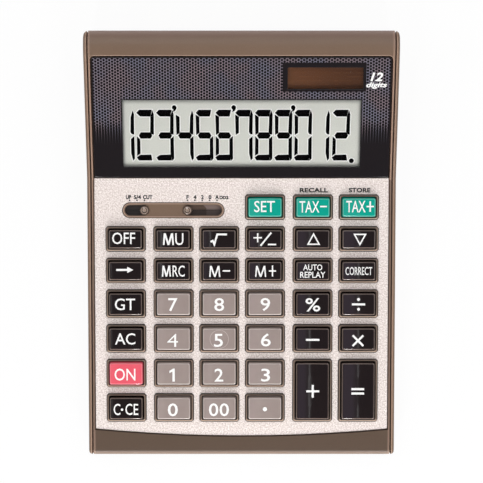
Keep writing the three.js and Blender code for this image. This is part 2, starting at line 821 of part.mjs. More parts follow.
// A flat ribbon from the back edge of the board to the underside of the display glass
function displayRibbon() {
  const onBoard = boardTop + seat + ribbonThickness / 2;
  const underGlass = glassTop - lcdThickness - seat - ribbonThickness / 2;
  const boardEdge = plateLength - boardRearMargin;
  const glassEdge = lcdView.y - lcdView.depth / 2 - glassLap;
  const deckPoint = (y) => new THREE.Vector3(0, y, onBoard).applyMatrix4(deckFrame);
  const glassPoint = (y) => new THREE.Vector3(0, y, underGlass).applyMatrix4(bedFrame);
  const route = new THREE.CatmullRomCurve3([
    deckPoint(boardEdge - ribbonLanding),
    deckPoint(boardEdge),
    glassPoint(glassEdge),
    glassPoint(glassEdge + ribbonLanding),
  ]);
  const halfWidth = ribbonWidth / 2;
  const halfThick = ribbonThickness / 2;
  const section = new THREE.Shape([
    new THREE.Vector2(-halfWidth, -halfThick),
    new THREE.Vector2(halfWidth, -halfThick),
    new THREE.Vector2(halfWidth, halfThick),
    new THREE.Vector2(-halfWidth, halfThick),
  ]);
  return new THREE.ExtrudeGeometry(section, { steps: smallSides, extrudePath: route });
}

// A pan-head screw, head down
function caseScrew({ x, y, bossTop }) {
  const under = bossTop - screwSeat;
  const end = bossTop + seat + screwBite;
  const profile = [
    new THREE.Vector2(0, under - screwHeadHeight),
    new THREE.Vector2(screwHeadRadius, under - screwHeadHeight),
    new THREE.Vector2(screwHeadRadius, under),
    new THREE.Vector2(screwShankRadius, under),
    new THREE.Vector2(screwShankRadius, end),
    new THREE.Vector2(0, end),
  ];
  return new THREE.LatheGeometry(profile, smallSides).rotateX(Math.PI / 2).translate(x, y, 0);
}

function batteryDoor() {
  const behind = caseBack + overrun;
  const lipFront = caseBack - backLean - shellWall;
  const flangeHalf = doorHalf + doorFlangeLip;
  const flange = block(-flangeHalf, flangeHalf, doorFront, behind, floorTop - doorFlange, floorTop);
  const plate = block(-doorHalf, doorHalf, doorFront, behind, -overrun, floorTop);
  const lip = block(-doorHalf, doorHalf, lipFront, behind, -overrun, doorLipTop);
  const blank = solidOf(flange).add(solidOf(plate)).add(solidOf(lip));
  return blank.intersect(solidOf(crosswise(caseProfile(), caseHalf)));
}

// The dry cell lies along X, with its flat end against the spring
const cellAxis = { y: (bayFront + bayRear) / 2, z: floorTop + seat + cellRadius };
const cellStart = -bayHalf + springLength + 2 * seat;
const alongX = new THREE.Matrix4().makeRotationY(Math.PI / 2);

function batteryCell() {
  const body = cellLength - nubLength;
  const profile = [
    new THREE.Vector2(0, 0),
    new THREE.Vector2(cellRadius, 0),
    new THREE.Vector2(cellRadius, body),
    new THREE.Vector2(nubRadius, body),
    new THREE.Vector2(nubRadius, cellLength),
    new THREE.Vector2(0, cellLength),
  ];
  const geometry = new THREE.LatheGeometry(profile, roundSides).rotateX(Math.PI / 2).applyMatrix4(alongX);
  return geometry.translate(cellStart, cellAxis.y, cellAxis.z);
}

class ConeHelix extends THREE.Curve {
  getPoint(share, target = new THREE.Vector3()) {
    const angle = share * springTurns * 2 * Math.PI;
    const radius = THREE.MathUtils.lerp(springRootRadius, springTipRadius, share);
    const along = (springLength - springWire) * share;
    return target.set(along, radius * Math.cos(angle), radius * Math.sin(angle));
  }
}

function batterySpring() {
  const section = new THREE.Shape().absarc(0, 0, springWire / 2, 0, 2 * Math.PI, false);
  const wire = { steps: springTurns * smallSides, extrudePath: new ConeHelix(), curveSegments: wireSteps };
  const geometry = new THREE.ExtrudeGeometry(section, wire);
  return geometry.translate(-bayHalf + seat + springWire / 2, cellAxis.y, cellAxis.z);
}

function batteryContact() {
  const high = bayHalf - seat;
  const half = contactSize / 2;
  const { y, z } = cellAxis;
  return block(high - contactThickness, high, y - half, y + half, z - half, z + half);
}

const calculator = new THREE.Group();
const deck = new THREE.Group();
deck.applyMatrix4(deckFrame);
const bed = new THREE.Group();
bed.applyMatrix4(bedFrame);
calculator.add(deck, bed);

calculator.add(piece("lower_case", geometryOf(lowerCase()), brown));
calculator.add(piece("upper_case", geometryOf(upperCase()), brown));
deck.add(piece("face_plate", facePlate(), champagne));
deck.add(piece("rubber_keypad", geometryOf(rubberMat()), greySilicone));
deck.add(piece("main_board", geometryOf(mainBoard()), greenBoard));
bed.add(piece("display_window", prism(windowOutline(0), -windowThickness, 0, profileSteps), blackAcrylic));
bed.add(piece("lcd_panel", viewGlass(lcdView, lcdThickness), greyGlass));
bed.add(piece("solar_cell", viewGlass(solarView, solarThickness), brownGlass));
calculator.add(piece("lcd_ribbon", displayRibbon(), amberFilm));

keys.forEach((key) => {
  const plainFinish = /^\d+$/.test(key.name) ? greyKey : darkKey;
  const cap = piece(`key_${key.name}`, keyCap(key), finishOfKey[key.name] ?? plainFinish);
  cap.position.set(key.x, key.y, 0);
  deck.add(cap);
});
[
  ["rounding_knob", roundingSwitch],
  ["decimal_knob", decimalSwitch],
].forEach(([name, { knobX, y }]) => {
  const knob = piece(name, geometryOf(switchKnob()), brown);
  knob.position.set(knobX, y, 0);
  deck.add(knob);
});

calculator.add(piece("battery_door", geometryOf(batteryDoor()), brown));
calculator.add(piece("battery_cell", batteryCell(), cellJacket));
calculator.add(piece("battery_spring", batterySpring(), zincSteel));
calculator.add(piece("battery_contact", batteryContact(), zincSteel));
screws.forEach((screw) => {
  const side = screw.x < 0 ? "left" : "right";
  calculator.add(piece(`case_screw_${screw.end}_${side}`, caseScrew(screw), zincSteel));
});
feetPlaces().forEach(({ x, y, end }) => {
  const side = x < 0 ? "left" : "right";
  const foot = cylinder(x, y, footRadius, 0, underside + footRecess);
  calculator.add(piece(`foot_${end}_${side}`, foot, blackRubber));
});

export default calculator;
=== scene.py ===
from math import copysign, cos, hypot, pi, radians, sin

import bmesh
import bpy
from mathutils import Matrix, Vector
from mathutils.bvhtree import BVHTree


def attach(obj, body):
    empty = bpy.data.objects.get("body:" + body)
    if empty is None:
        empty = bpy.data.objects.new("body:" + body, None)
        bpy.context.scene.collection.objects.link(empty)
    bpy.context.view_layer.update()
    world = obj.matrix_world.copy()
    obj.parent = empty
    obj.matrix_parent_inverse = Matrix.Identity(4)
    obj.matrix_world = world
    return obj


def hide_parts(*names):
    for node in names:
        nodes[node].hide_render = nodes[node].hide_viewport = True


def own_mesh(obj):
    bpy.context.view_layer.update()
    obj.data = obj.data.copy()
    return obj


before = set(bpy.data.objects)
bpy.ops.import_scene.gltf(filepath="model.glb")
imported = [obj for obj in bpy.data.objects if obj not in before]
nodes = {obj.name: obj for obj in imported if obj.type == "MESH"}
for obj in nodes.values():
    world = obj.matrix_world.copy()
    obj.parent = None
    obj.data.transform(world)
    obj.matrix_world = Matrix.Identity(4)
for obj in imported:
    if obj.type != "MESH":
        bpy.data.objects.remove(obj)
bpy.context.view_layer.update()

scene = bpy.context.scene
millimetres = Matrix.Scale(0.001, 4)


# Lower case
# A tub of brown ABS whose two cheeks stand outside the upper moulding. It is injection
# moulded with a fine spark-eroded skin, and four screws from below close the case.
def linear(*levels):
    """A colour given in sRGB levels, as a shader reads it."""
    shares = [level / 255 for level in levels]
    return (*[s / 12.92 if s <= 0.04045 else ((s + 0.055) / 1.055) ** 2.4 for s in shares], 1)


class Socket:
    """An output of a node, with sums and tests written as Python."""

    def __init__(self, tree, output):
        self.tree = tree
        self.output = output

    __add__ = __radd__ = lambda self, other: self.tree.math("ADD", self, other)
    __mul__ = __rmul__ = lambda self, other: self.tree.math("MULTIPLY", self, other)
    __sub__ = lambda self, other: self.tree.math("SUBTRACT", self, other)
    __rsub__ = lambda self, other: self.tree.math("SUBTRACT", other, self)
    __truediv__ = lambda self, other: self.tree.math("DIVIDE", self, other)
    __pow__ = lambda self, other: self.tree.math("POWER", self, other)
    __lt__ = lambda self, other: self.tree.math("LESS_THAN", self, other)
    __gt__ = lambda self, other: self.tree.math("GREATER_THAN", self, other)
    __abs__ = lambda self: self.tree.math("ABSOLUTE", self)


class Tree:
    """A node tree that grows one node at a time."""

    def __init__(self, node_tree):
        self.node_tree = node_tree

    def feed(self, socket, value):
        if isinstance(value, Socket):
            self.node_tree.links.new(value.output, socket)
        else:
            socket.default_value = value

    def node(self, kind, inputs=None, output=0, **settings):
        made = self.node_tree.nodes.new(kind)
        for name, value in settings.items():
            setattr(made, name, value)
        for name, value in (inputs or {}).items():
            self.feed(made.inputs[name], value)
        return Socket(self, made.outputs[output])

    def math(self, operation, first, second=0.0):
        return self.node("ShaderNodeMath", {0: first, 1: second}, operation=operation)

    def larger(self, first, second):
        return self.math("MAXIMUM", first, second)

    def distance(self, x, y):
        return self.math("SQRT", x * x + y * y)

    def mix(self, share, *colours):
        """Two colours mixed, each from a socket or given by its sRGB levels."""
        first, second = [linear(*hue) if isinstance(hue, tuple) else hue for hue in colours]
        return self.node("ShaderNodeMix", {0: share, 6: first, 7: second}, 2, data_type="RGBA")

    def ease(self, value, low, high):
        limits = {0: value, 1: low, 2: high}
        return self.node("ShaderNodeMapRange", limits, interpolation_type="SMOOTHSTEP")

    def band(self, value, low, full, fading, high):
        """One between full and fading, and nothing below low or above high."""
        return self.ease(value, low, full) * (1 - self.ease(value, fading, high))

    def axes(self, vector):
        split = self.node("ShaderNodeSeparateXYZ", {0: vector})
        return [Socket(self, output) for output in split.output.node.outputs]


class Finish(Tree):
    """A material around one Principled shader, laid in a frame in millimetres."""

    def __init__(self, name, plane=millimetres):
        self.material = bpy.data.materials.new(name)
        self.material.use_nodes = True
        super().__init__(self.material.node_tree)
        self.shader = self.node_tree.nodes["Principled BSDF"]
        self.at = self.place(plane)

    def place(self, plane=millimetres):
        origin, turn, scale = plane.decompose()
        at = self.node("ShaderNodeTexCoord", output="Object")
        seen = {"Vector": at, "Location": origin, "Rotation": turn.to_euler(), "Scale": scale}
        return self.node("ShaderNodeMapping", seen, vector_type="TEXTURE")

    def noise(self, size, detail=2.0):
        return self.node("ShaderNodeTexNoise", {"Vector": self.at, "Scale": 1 / size, "Detail": detail})

    def relief(self, height, depth):
        return self.node("ShaderNodeBump", {"Height": height, "Distance": depth / 1000})

    def painted_highlight(self):
        """How strong the painted highlight is at a spot, as its mesh says."""
        return self.node("ShaderNodeAttribute", output="Fac", attribute_name="painted_highlight")

    def tinted(self, colour, *tints):
        """A colour under tints, each given by its share and its sRGB levels."""
        for share, levels in tints:
            colour = self.mix(share, colour, levels)
        return colour

    def paint(self, inputs):
        for name, value in inputs.items():
            self.feed(self.shader.inputs[name], value)
        return self.material


def moulded(name, dark, light, roughness=0.42, grain_size=0.35, grain_depth=0.02, painted_light=None):
    """Moulded plastic with a fine eroded skin and a slightly cloudy colour, with painted light and shade laid
    on by a function if one is given.
    """
    finish = Finish(name)
    grain = finish.noise(grain_size, 3.0)
    cloud = finish.noise(24.0)
    fleck = finish.ease(grain, 0.3, 0.7)
    colour = finish.mix(cloud * 0.5 + fleck * 0.5, dark, light)
    return finish.paint({
        "Base Color": painted_light(finish, colour) if painted_light else colour,
        "Roughness": roughness - 0.06 + grain * 0.14,
        "Normal": finish.relief(grain, grain_depth),
    })


def welded_copy(node):
    """A copy of a CAD node with its corners joined and its flat faces whole."""
    weld, flat = 2e-5, radians(0.6)
    source = nodes[node].data
    work = bmesh.new()
    corners = [work.verts.new(vertex.co) for vertex in source.vertices]
    for polygon in source.polygons:
        work.faces.new([corners[index] for index in polygon.vertices])
    bmesh.ops.remove_doubles(work, verts=work.verts, dist=weld)
    bmesh.ops.dissolve_limit(work, angle_limit=flat, verts=work.verts, edges=work.edges)
    return work


def in_scene(name, data):
    placed = bpy.data.objects.new(name, data)
    scene.collection.objects.link(placed)
    return placed


def new_piece(name, work, material=None, plane=Matrix(), smooth=True):
    """An object at the origin, from a bmesh that is first moved out of a frame of its own."""
    work.transform(plane)
    mesh = bpy.data.meshes.new(name)
    work.to_mesh(mesh)
    work.free()
    if smooth:
        mesh.shade_smooth()
    if material:
        mesh.materials.append(material)
    return in_scene(name, mesh)


sharp = radians(55)


def soften(piece, radius, segments=2, share_of=lambda edge: 1.0):
    """Rounds the sharp edges by a radius in millimetres, and by less where space is short."""
    crosswise, room_share, least_share = 0.5, 0.4, 0.1
    work = bmesh.new()
    work.from_mesh(piece.data)
    rounding = work.edges.layers.float.new("bevel_weight_edge")
    for edge in work.edges:
        if edge.calc_face_angle(0) <= sharp:
            continue
        along = (edge.verts[1].co - edge.verts[0].co).normalized()
        room = [radius / 1000]
        for end in edge.verts:
            for near in end.link_edges:
                across = (near.other_vert(end).co - end.co).cross(along).length
                if across > crosswise * near.calc_length():
                    room.append(room_share * across)
        share = share_of(edge) * min(1, min(room) * 1000 / radius)
        edge.smooth = share > least_share
        edge[rounding] = share if edge.smooth else 0
    work.to_mesh(piece.data)
    work.free()
    bevel = piece.modifiers.new("edge", "BEVEL")
    bevel.width = radius / 1000
    bevel.segments = segments
    bevel.limit_method = "WEIGHT"
    bevel.use_clamp_overlap = False
    weighted = piece.modifiers.new("shading", "WEIGHTED_NORMAL")
    weighted.keep_sharp = True
    return piece


def fit(piece, body, slot=None, stands_for=()):
    """Puts a piece on the body that carries it."""
    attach(piece, body)
    if stands_for:
        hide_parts(*stands_for)
    return piece


def cheek_edge_highlight(finish, colour):
    """The top of each cheek has a painted highlight along its inner edge."""
    side = abs(finish.axes(finish.at)[0])
    return finish.tinted(colour, (finish.band(side, 72.9, 73.2, 73.9, 74.3) * 0.6, (174, 144, 124)))


brown = (108, 86, 69), (121, 98, 80)
brown_skin = moulded("brown_case_skin", *brown, painted_light=cheek_edge_highlight)
tub = soften(new_piece("case_tub", welded_copy("lower_case"), brown_skin), 0.25)
fit(tub, "case", "case_plastic", ["lower_case"])


# Rubber feet
# Four black rubber discs, die cut and glued into shallow round wells in the floor. The
# lower rim of each is chamfered by the cut, and the face is slightly cushioned.
def evaluated_mesh(piece):
    """The mesh of a piece as its modifiers leave it."""
    seen = piece.evaluated_get(bpy.context.evaluated_depsgraph_get())
    return bpy.data.meshes.new_from_object(seen)


class Pattern(Tree):
    """A geometry tree with named sizes in millimetres, run once into a plain mesh."""

    kinds = {float: "NodeSocketFloat", int: "NodeSocketInt"}

    def __init__(self, name, sizes):
        group = bpy.data.node_groups.new(name, "GeometryNodeTree")
        super().__init__(group)
        self.sizes = sizes
        group.interface.new_socket("Geometry", in_out="INPUT", socket_type="NodeSocketGeometry")
        for label, value in sizes.items():
            group.interface.new_socket(label, in_out="INPUT", socket_type=self.kinds[type(value)])
        group.interface.new_socket("Geometry", in_out="OUTPUT", socket_type="NodeSocketGeometry")
        entry = group.nodes.new("NodeGroupInput")
        self.given = {output.name: Socket(self, output) for output in entry.outputs if output.name}

    def vector(self, x=0.0, y=0.0, z=0.0):
        return self.node("ShaderNodeCombineXYZ", {0: x, 1: y, 2: z})

    def cylinder(self, sides, radius, height, rings=1):
        sizes = {"Vertices": sides, "Fill Segments": rings, "Radius": radius, "Depth": height}
        return self.node("GeometryNodeMeshCylinder", sizes)

    def shaped(self, geometry, lift):
        """A geometry with each of its points raised by a lift of its own."""
        offset = self.vector(z=lift)
        return self.node("GeometryNodeSetPosition", {"Geometry": geometry, "Offset": offset})

    def raised(self, geometry, height):
        offset = self.vector(z=height)
        return self.node("GeometryNodeTransform", {"Geometry": geometry, "Translation": offset})

    def repeated(self, instance, points=None):
        seen = {"Points": points or self.given["Geometry"], "Instance": instance}
        return self.node("GeometryNodeInstanceOnPoints", seen)

    def joined(self, *parts):
        join = self.node("GeometryNodeJoinGeometry")
        for part in reversed(parts):
            self.node_tree.links.new(part.output, join.output.node.inputs[0])
        return join

    def grow(self, geometry, points, frame_of_points, name, material):
        """Runs the tree on loose points, given in millimetres in a frame of their own."""
        real = self.node("GeometryNodeRealizeInstances", {"Geometry": geometry})
        painted = self.node("GeometryNodeSetMaterial", {"Geometry": real, "Material": material})
        leave = self.node_tree.nodes.new("NodeGroupOutput")
        self.node_tree.links.new(painted.output, leave.inputs[0])
        work = bmesh.new()
        for point in points:
            work.verts.new(point)
        grown = new_piece(name, work)
        modifier = grown.modifiers.new(name, "NODES")
        modifier.node_group = self.node_tree
        for item in self.node_tree.interface.items_tree:
            if item.in_out == "INPUT" and item.name in self.sizes:
                modifier[item.identifier] = self.sizes[item.name]
        mesh = evaluated_mesh(grown)
        grown.modifiers.clear()
        mesh.transform(frame_of_points)
        mesh.materials.clear()
        mesh.materials.append(material)
        grown.data = mesh
        return grown


def box_of(points):
    """Lowest and highest corner of the box round some points."""
    return [Vector([pick(point[axis] for point in points) for axis in range(3)]) for pick in (min, max)]


def local_box(node, plane=millimetres):
    """The box of a CAD node in a frame of its own, in millimetres."""
    back = plane.inverted()
    return box_of([back @ vertex.co for vertex in nodes[node].data.vertices])


def middle(node, plane=millimetres):
    low, high = local_box(node, plane)
    return (low + high) / 2


rubber = Finish("black_foot_rubber")
rubber_pits = rubber.noise(0.5, 4.0)
rubber.paint({
    "Base Color": rubber.mix(rubber.noise(3.0), (27, 26, 26), (44, 42, 41)),
    "Roughness": 0.72 + rubber_pits * 0.2,
    "Normal": rubber.relief(rubber_pits, 0.05),
})
foot_nodes = [f"foot_{end}_{side}" for end in ("front", "rear") for side in ("left", "right")]
foot_low, foot_high = local_box(foot_nodes[0])
feet = Pattern("round_feet", {
    "Radius": (foot_high.x - foot_low.x) / 2, "Height": foot_high.z - foot_low.z,
    "Chamfer": 0.5, "Cushion": 0.12, "Sides": 48, "Rings": 12,
})
given = feet.given
chamfer_start = 0.96
disc = feet.cylinder(given["Sides"], given["Radius"], given["Height"], given["Rings"])
foot_x, foot_y, foot_z = feet.axes(feet.node("GeometryNodeInputPosition"))
reach = feet.distance(foot_x, foot_y) / given["Radius"]
lift = (reach > chamfer_start) * given["Chamfer"] + reach * reach * given["Cushion"]
disc = feet.raised(feet.shaped(disc, (foot_z < 0.0) * lift), given["Height"] / 2)
foot_spots = [Vector((*middle(name).xy, foot_low.z)) for name in foot_nodes]
foot_discs = feet.grow(feet.repeated(disc), foot_spots, millimetres, "rubber_feet", rubber.material)
fit(foot_discs, "case", "foot_rubber", foot_nodes)


# Battery parts
# One dry cell lies across the bay behind the board. A cone of nickel-plated spring wire
# presses its flat end, and a stamped plate of the same steel takes the pip.
def marked(name, dark, light, size, detail, roughness, spread, depth=0, plane=millimetres, more=None):
    """A material whose colour, gloss and relief all follow one noise."""
    finish = Finish(name, plane)
    marks = finish.noise(size, detail)
    inputs = {
        "Base Color": finish.mix(marks, dark, light),
        "Roughness": roughness + marks * spread,
    }
    if depth:
        inputs["Normal"] = finish.relief(marks, depth)
    return finish.paint({**inputs, **(more or {})})


def dressed(node, material):
    nodes[node].data.materials.clear()
    nodes[node].data.materials.append(material)


metal = {"Metallic": 1.0}
nickel = marked("nickel_plate", (176, 176, 178), (205, 204, 200), 0.8, 5.0, 0.22, 0.2, 0.01, more=metal)
dressed("battery_contact", nickel)

spring_low, spring_high = local_box("battery_spring")
spring_wire = 0.7
spring = Pattern("cone_spring", {
    "Turns": 3.0, "Root": (spring_high.y - spring_low.y - spring_wire) / 2, "Tip": 3.2,
    "Rise": spring_high.x - spring_low.x - spring_wire, "Wire": spring_wire / 2,
})
given = spring.given
coil = spring.node("GeometryNodeCurveSpiral", {
    "Resolution": 40, "Rotations": given["Turns"], "Height": given["Rise"],
    "Start Radius": given["Root"], "End Radius": given["Tip"],
})
wire = spring.node("GeometryNodeCurvePrimitiveCircle", {"Resolution": 12, "Radius": given["Wire"]})
wound = spring.node("GeometryNodeCurveToMesh", {"Curve": coil, "Profile Curve": wire, "Fill Caps": True})
spring_end = Vector((spring_low.x + spring_wire / 2, *middle("battery_spring").yz))
along_x = Matrix.Rotation(pi / 2, 4, "Y")
spring_frame = millimetres @ Matrix.Translation(spring_end) @ along_x
spring_piece = spring.grow(wound, [Vector()], spring_frame, "battery_coil_spring", nickel)
fit(spring_piece, "case", "zinc_steel", ["battery_spring"])


def arc(x, y, radius, start, turn, steps):
    """Points along part of a circle, from a starting angle through a turn."""
    angles = [start + turn * step / steps for step in range(steps + 1)]
    return [(x + radius * cos(angle), y + radius * sin(angle)) for angle in angles]


def circle(radius, z, sides=40):
    return [Vector((*point, z)) for point in arc(0, 0, radius, 0, 2 * pi, sides)[:-1]]


def skinned(rings):
    """A closed skin over rings with equal counts of points, from the first to the last."""
    work = bmesh.new()
    loops = [[work.verts.new(point) for point in ring] for ring in rings]
    for lower, upper in zip(loops, loops[1:]):
        for index, corner in enumerate(lower):
            following = (index + 1) % len(lower)
            work.faces.new((corner, lower[following], upper[following], upper[index]))
    work.faces.new(loops[0][::-1])
    work.faces.new(loops[-1])
    return work


def turned(profile, sides=40):
    """A lathed form from pairs of radius and height."""
    return skinned([circle(max(radius, 0.01), z, sides) for radius, z in profile])


cell_low, cell_high = local_box("battery_cell")
cell_radius = (cell_high.z - cell_low.z) / 2
cell_length = cell_high.x - cell_low.x
cell_end = cell_length - 1.0
foot_profile = [(2.2, 0.25), (1.0, 0.1), (0.5, 0), (0.15, 0.15), (0.02, 0.5), (0, 1.0)]
shoulder_profile = [(0, 1.0), (0.02, 0.5), (0.2, 0.1), (0.6, 0), (1.2, 0.35), (2.4, 0.45)]
cell_profile = [(cell_radius - inset, z) for inset, z in foot_profile]
cell_profile += [(cell_radius - inset, cell_end - drop) for inset, drop in shoulder_profile]
cell_profile += [(2.75, cell_end - 0.4), (2.7, cell_length - 0.25), (2.4, cell_length)]
cell_frame = millimetres @ Matrix.Translation(Vector((cell_low.x, *middle("battery_cell").yz))) @ along_x
jacket = Finish("cell_jacket_film", cell_frame)
jacket_z = jacket.axes(jacket.at)[2]
gold_band = jacket.ease(jacket_z, cell_end - 15.0, cell_end - 14.9)
bare = jacket.larger(jacket_z > cell_end - 0.55, jacket_z < 0.16)
scuffs = jacket.noise(2.0, 5.0)
film = jacket.mix(gold_band, (38, 50, 80), (176, 150, 96))
jacket.paint({
    "Base Color": jacket.mix(bare, film, (196, 194, 190)),
    "Metallic": bare * 0.9,
    "Roughness": 0.24 + scuffs * 0.14,
    "Normal": jacket.relief(scuffs, 0.01),
})
cell = new_piece("dry_cell", turned(cell_profile), jacket.material, cell_frame)
fit(cell, "case", "cell_jacket", ["battery_cell"])


# Battery door
# A plate of the same brown ABS with a flange along its edges and a lip at the back. It
# slides out backwards, and the ribs moulded on its underside give the thumb its grip.
door = soften(new_piece("door_plate", welded_copy("battery_door"), brown_skin), 0.2)
fit(door, "battery_door", "case_plastic", ["battery_door"])
door_low = local_box("battery_door")[0]
grip = Pattern("grip_ribs", {"Rows": 7, "Pitch": 1.5, "Length": 16.0, "Width": 0.7, "Rise": 0.9})
given = grip.given
row = grip.node("GeometryNodeMeshLine", {"Count": given["Rows"], "Offset": grip.vector(y=given["Pitch"])})
bar = grip.node("GeometryNodeMeshCube", {
    "Size": grip.vector(given["Length"], given["Width"], given["Rise"]),
    "Vertices X": 17, "Vertices Y": 3, "Vertices Z": 2,
})
bar_x, bar_y, bar_z = grip.axes(grip.node("GeometryNodeInputPosition"))
taper = abs(bar_x) * 2 / given["Length"]
crown = abs(bar_y) * 2 / given["Width"]
bar = grip.shaped(bar, (bar_z < 0.0) * (taper ** 6.0 * 0.3 + crown * 0.22))
grip_frame = millimetres @ Matrix.Translation(Vector((0, door_low.y + 6.5, door_low.z + 0.15)))
ribs = grip.grow(grip.repeated(bar, row), [Vector()], grip_frame, "door_grip_ribs", brown_skin)
fit(ribs, "battery_door", "case_plastic")


# Circuit board and its ribbon
# A glass-epoxy board under the keypad with tinned pads and a moulded chip, joined to the
# display glass by a flat amber film with printed conductors.
def tilted_plane(node, degrees):
    """The frame of a tilted sheet, in millimetres: y = 0 is its front edge and z = 0 its top."""
    low, high = local_box(node)
    tilt = radians(degrees)
    along, up = cos(tilt), sin(tilt)
    run, rise = high.y - low.y, high.z - low.z
    thickness = (rise * along - run * up) / (along * along - up * up)
    origin = Vector((0, low.y, low.z + thickness * along))
    return millimetres @ Matrix.Translation(origin) @ Matrix.Rotation(tilt, 4, "X")


deck = tilted_plane("face_plate", 4.3)
bed = tilted_plane("display_window", 17.9)
board = Finish("solder_mask", deck)
board_y, board_z = board.axes(board.at)[1:]
trace_pitch = 1.27
trace_noise = board.noise(9.0, 1.0)
traces = board.math("FRACT", board_y / trace_pitch + board.math("ROUND", trace_noise * 5) * 0.5)
copper = (traces < 0.42) * board.ease(trace_noise, 0.42, 0.46)
board_low, board_high = local_box("main_board", deck)
on_parts = board.larger(board_z < board_low.z + 1.58, board_z > board_high.z - 2.0)
mask_green = board.mix(copper, (28, 84, 50), (52, 122, 72))
dressed("main_board", board.paint({
    "Base Color": board.mix(on_parts, mask_green, (30, 30, 32)),
    "Roughness": 0.32 + on_parts * 0.25,
    "Normal": board.relief(copper, 0.03),
}))

amber = Finish("amber_film")
lines = amber.math("FRACT", amber.axes(amber.at)[0]) < 0.5
dressed("lcd_ribbon", amber.paint({
    "Base Color": amber.mix(lines, (170, 104, 34), (92, 60, 30)),
    "Roughness": 0.28 + amber.noise(4.0) * 0.15,
    "Normal": amber.relief(lines, 0.02),
}))


# Rubber keypad
# One sheet of grey silicone with a hollow dome under every key. The skirt of a dome
# gives way as its key goes down, and springs it back.
silicone = marked(
    "keypad_silicone_rubber", (96, 96, 98), (118, 118, 119), 1.4, 4.0, 0.62, 0.2, 0.02, deck,
    {"Subsurface Weight": 0.06, "Subsurface Radius": (0.002, 0.002, 0.002)},
)


def filled(curve, low, high):
    """A flat outline as a closed bmesh between two heights."""
    curve.dimensions = "2D"
    curve.fill_mode = "BOTH"
    curve.resolution_u = 3
    curve.extrude = 1.0
    shape = in_scene("outline", curve)
    mesh = evaluated_mesh(shape)
    work = bmesh.new()
    work.from_mesh(mesh)
    bpy.data.objects.remove(shape)
    bpy.data.meshes.remove(mesh)
    for vertex in work.verts:
        vertex.co.z = high if vertex.co.z > 0 else low
    bmesh.ops.remove_doubles(work, verts=work.verts, dist=1e-4)
    bmesh.ops.recalc_face_normals(work, faces=work.faces)
    return work


def slab(loops, low, high):
    """A flat plate from closed loops of points. Loops inside the first are holes."""
    curve = bpy.data.curves.new("loops", "CURVE")
    curve.dimensions = "2D"
    for loop in loops:
        spline = curve.splines.new("POLY")
        spline.points.add(len(loop) - 1)
        for point, corner in zip(spline.points, loop):
            point.co = (corner[0], corner[1], 0, 1)
        spline.use_cyclic_u = True
    return filled(curve, low, high)


mat_low, mat_high = local_box("rubber_keypad", deck)
mat_thickness = 0.6
mat_top = mat_low.z + mat_thickness
key_nodes = sorted(name for name in nodes if name.startswith("key_"))
key_spots = {name: middle(name, deck) for name in key_nodes}
key_columns = sorted({round(spot.x, 2) for spot in key_spots.values()})
key_rows = sorted({round(spot.y, 2) for spot in key_spots.values()})
notch_x = (key_columns[2] + key_columns[3]) / 2
notch_y = (key_rows[-1] + key_rows[-2]) / 2 - 1.2
mat_outline = [
    (mat_low.x, mat_low.y), (mat_high.x, mat_low.y), (mat_high.x, mat_high.y),
    (notch_x, mat_high.y), (notch_x, notch_y), (mat_low.x, notch_y),
]
mat = soften(new_piece("keypad_sheet", slab([mat_outline], mat_low.z, mat_top), silicone, deck), 0.15)
fit(mat, "case", "keypad_silicone", ["rubber_keypad"])

dome_top = mat_high.z
dome_rise = dome_top - mat_top
dome_profile = [
    (4.3, mat_top - 0.02), (4.35, mat_top + 0.1), (4.1, mat_top + 0.3),
    (3.2, mat_top + dome_rise * 0.72), (2.9, mat_top + dome_rise * 0.86),
    (2.55, dome_top - 0.04), (2.3, dome_top), (1.2, dome_top), (1.0, dome_top - 0.1),
]


def over(spot):
    """The frame of the deck, moved to a spot on it."""
    return deck @ Matrix.Translation((spot.x, spot.y, 0))


for name, spot in key_spots.items():
    dome = new_piece(name.replace("key_", "dome_"), turned(dome_profile, 24), silicone, over(spot))
    fit(dome, "case", "keypad_silicone")
    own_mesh(dome)


# Key caps
# Thirty-seven hollow ABS caps, each with a flange that stops under the deck and a plunger
# that rests on its dome. The tops are hollowed across and polished, the 5 has a finger
# dish, and the white legends are printed.
def key_plastic(name, dark, light, painted_highlight):
    """Polished ABS with faint flow marks and a painted highlight along its upper edges."""
    finish = Finish(name, deck)
    flow = finish.noise(6.0, 3.0)
    scuffs = finish.noise(0.9, 5.0)
    highlight_share = finish.painted_highlight()
    colour = finish.mix(flow, dark, light)
    return finish.paint({
        "Base Color": finish.tinted(colour, (highlight_share * (0.6 + scuffs * 0.4), painted_highlight)),
        "Roughness": 0.045 + scuffs * 0.03 + highlight_share * 0.06,
        "Normal": finish.relief(scuffs, 0.002),
    })


# The last colour of each is the painted highlight along the cap's upper edges.
black_caps = key_plastic("black_key_caps", (21, 13, 15), (28, 19, 20), (146, 126, 116))
grey_caps = key_plastic("grey_key_caps", (146, 132, 127), (157, 143, 137), (228, 218, 212))
green_caps = key_plastic("green_key_caps", (0, 152, 132), (5, 162, 142), (120, 206, 190))
pink_caps = key_plastic("pink_key_caps", (222, 86, 101), (230, 96, 111), (246, 160, 168))
white_ink = marked("white_legend_ink", (236, 235, 232), (246, 246, 244), 0.7, 4.0, 0.38, 0.12, plane=deck)


def word(text, width, height, weight=0.005, slant=0.0):
    """Lettering fitted to a width and a height about its middle."""
    curve = bpy.data.curves.new(text, "FONT")
    curve.body, curve.offset, curve.shear = text, weight, slant
    work = filled(curve, -1, 1)
    low, high = box_of([vertex.co for vertex in work.verts])
    centre = (low + high) / 2
    for vertex in work.verts:
        vertex.co.x = (vertex.co.x - centre.x) * width / (high.x - low.x)
        vertex.co.y = (vertex.co.y - centre.y) * height / (high.y - low.y)
    return work


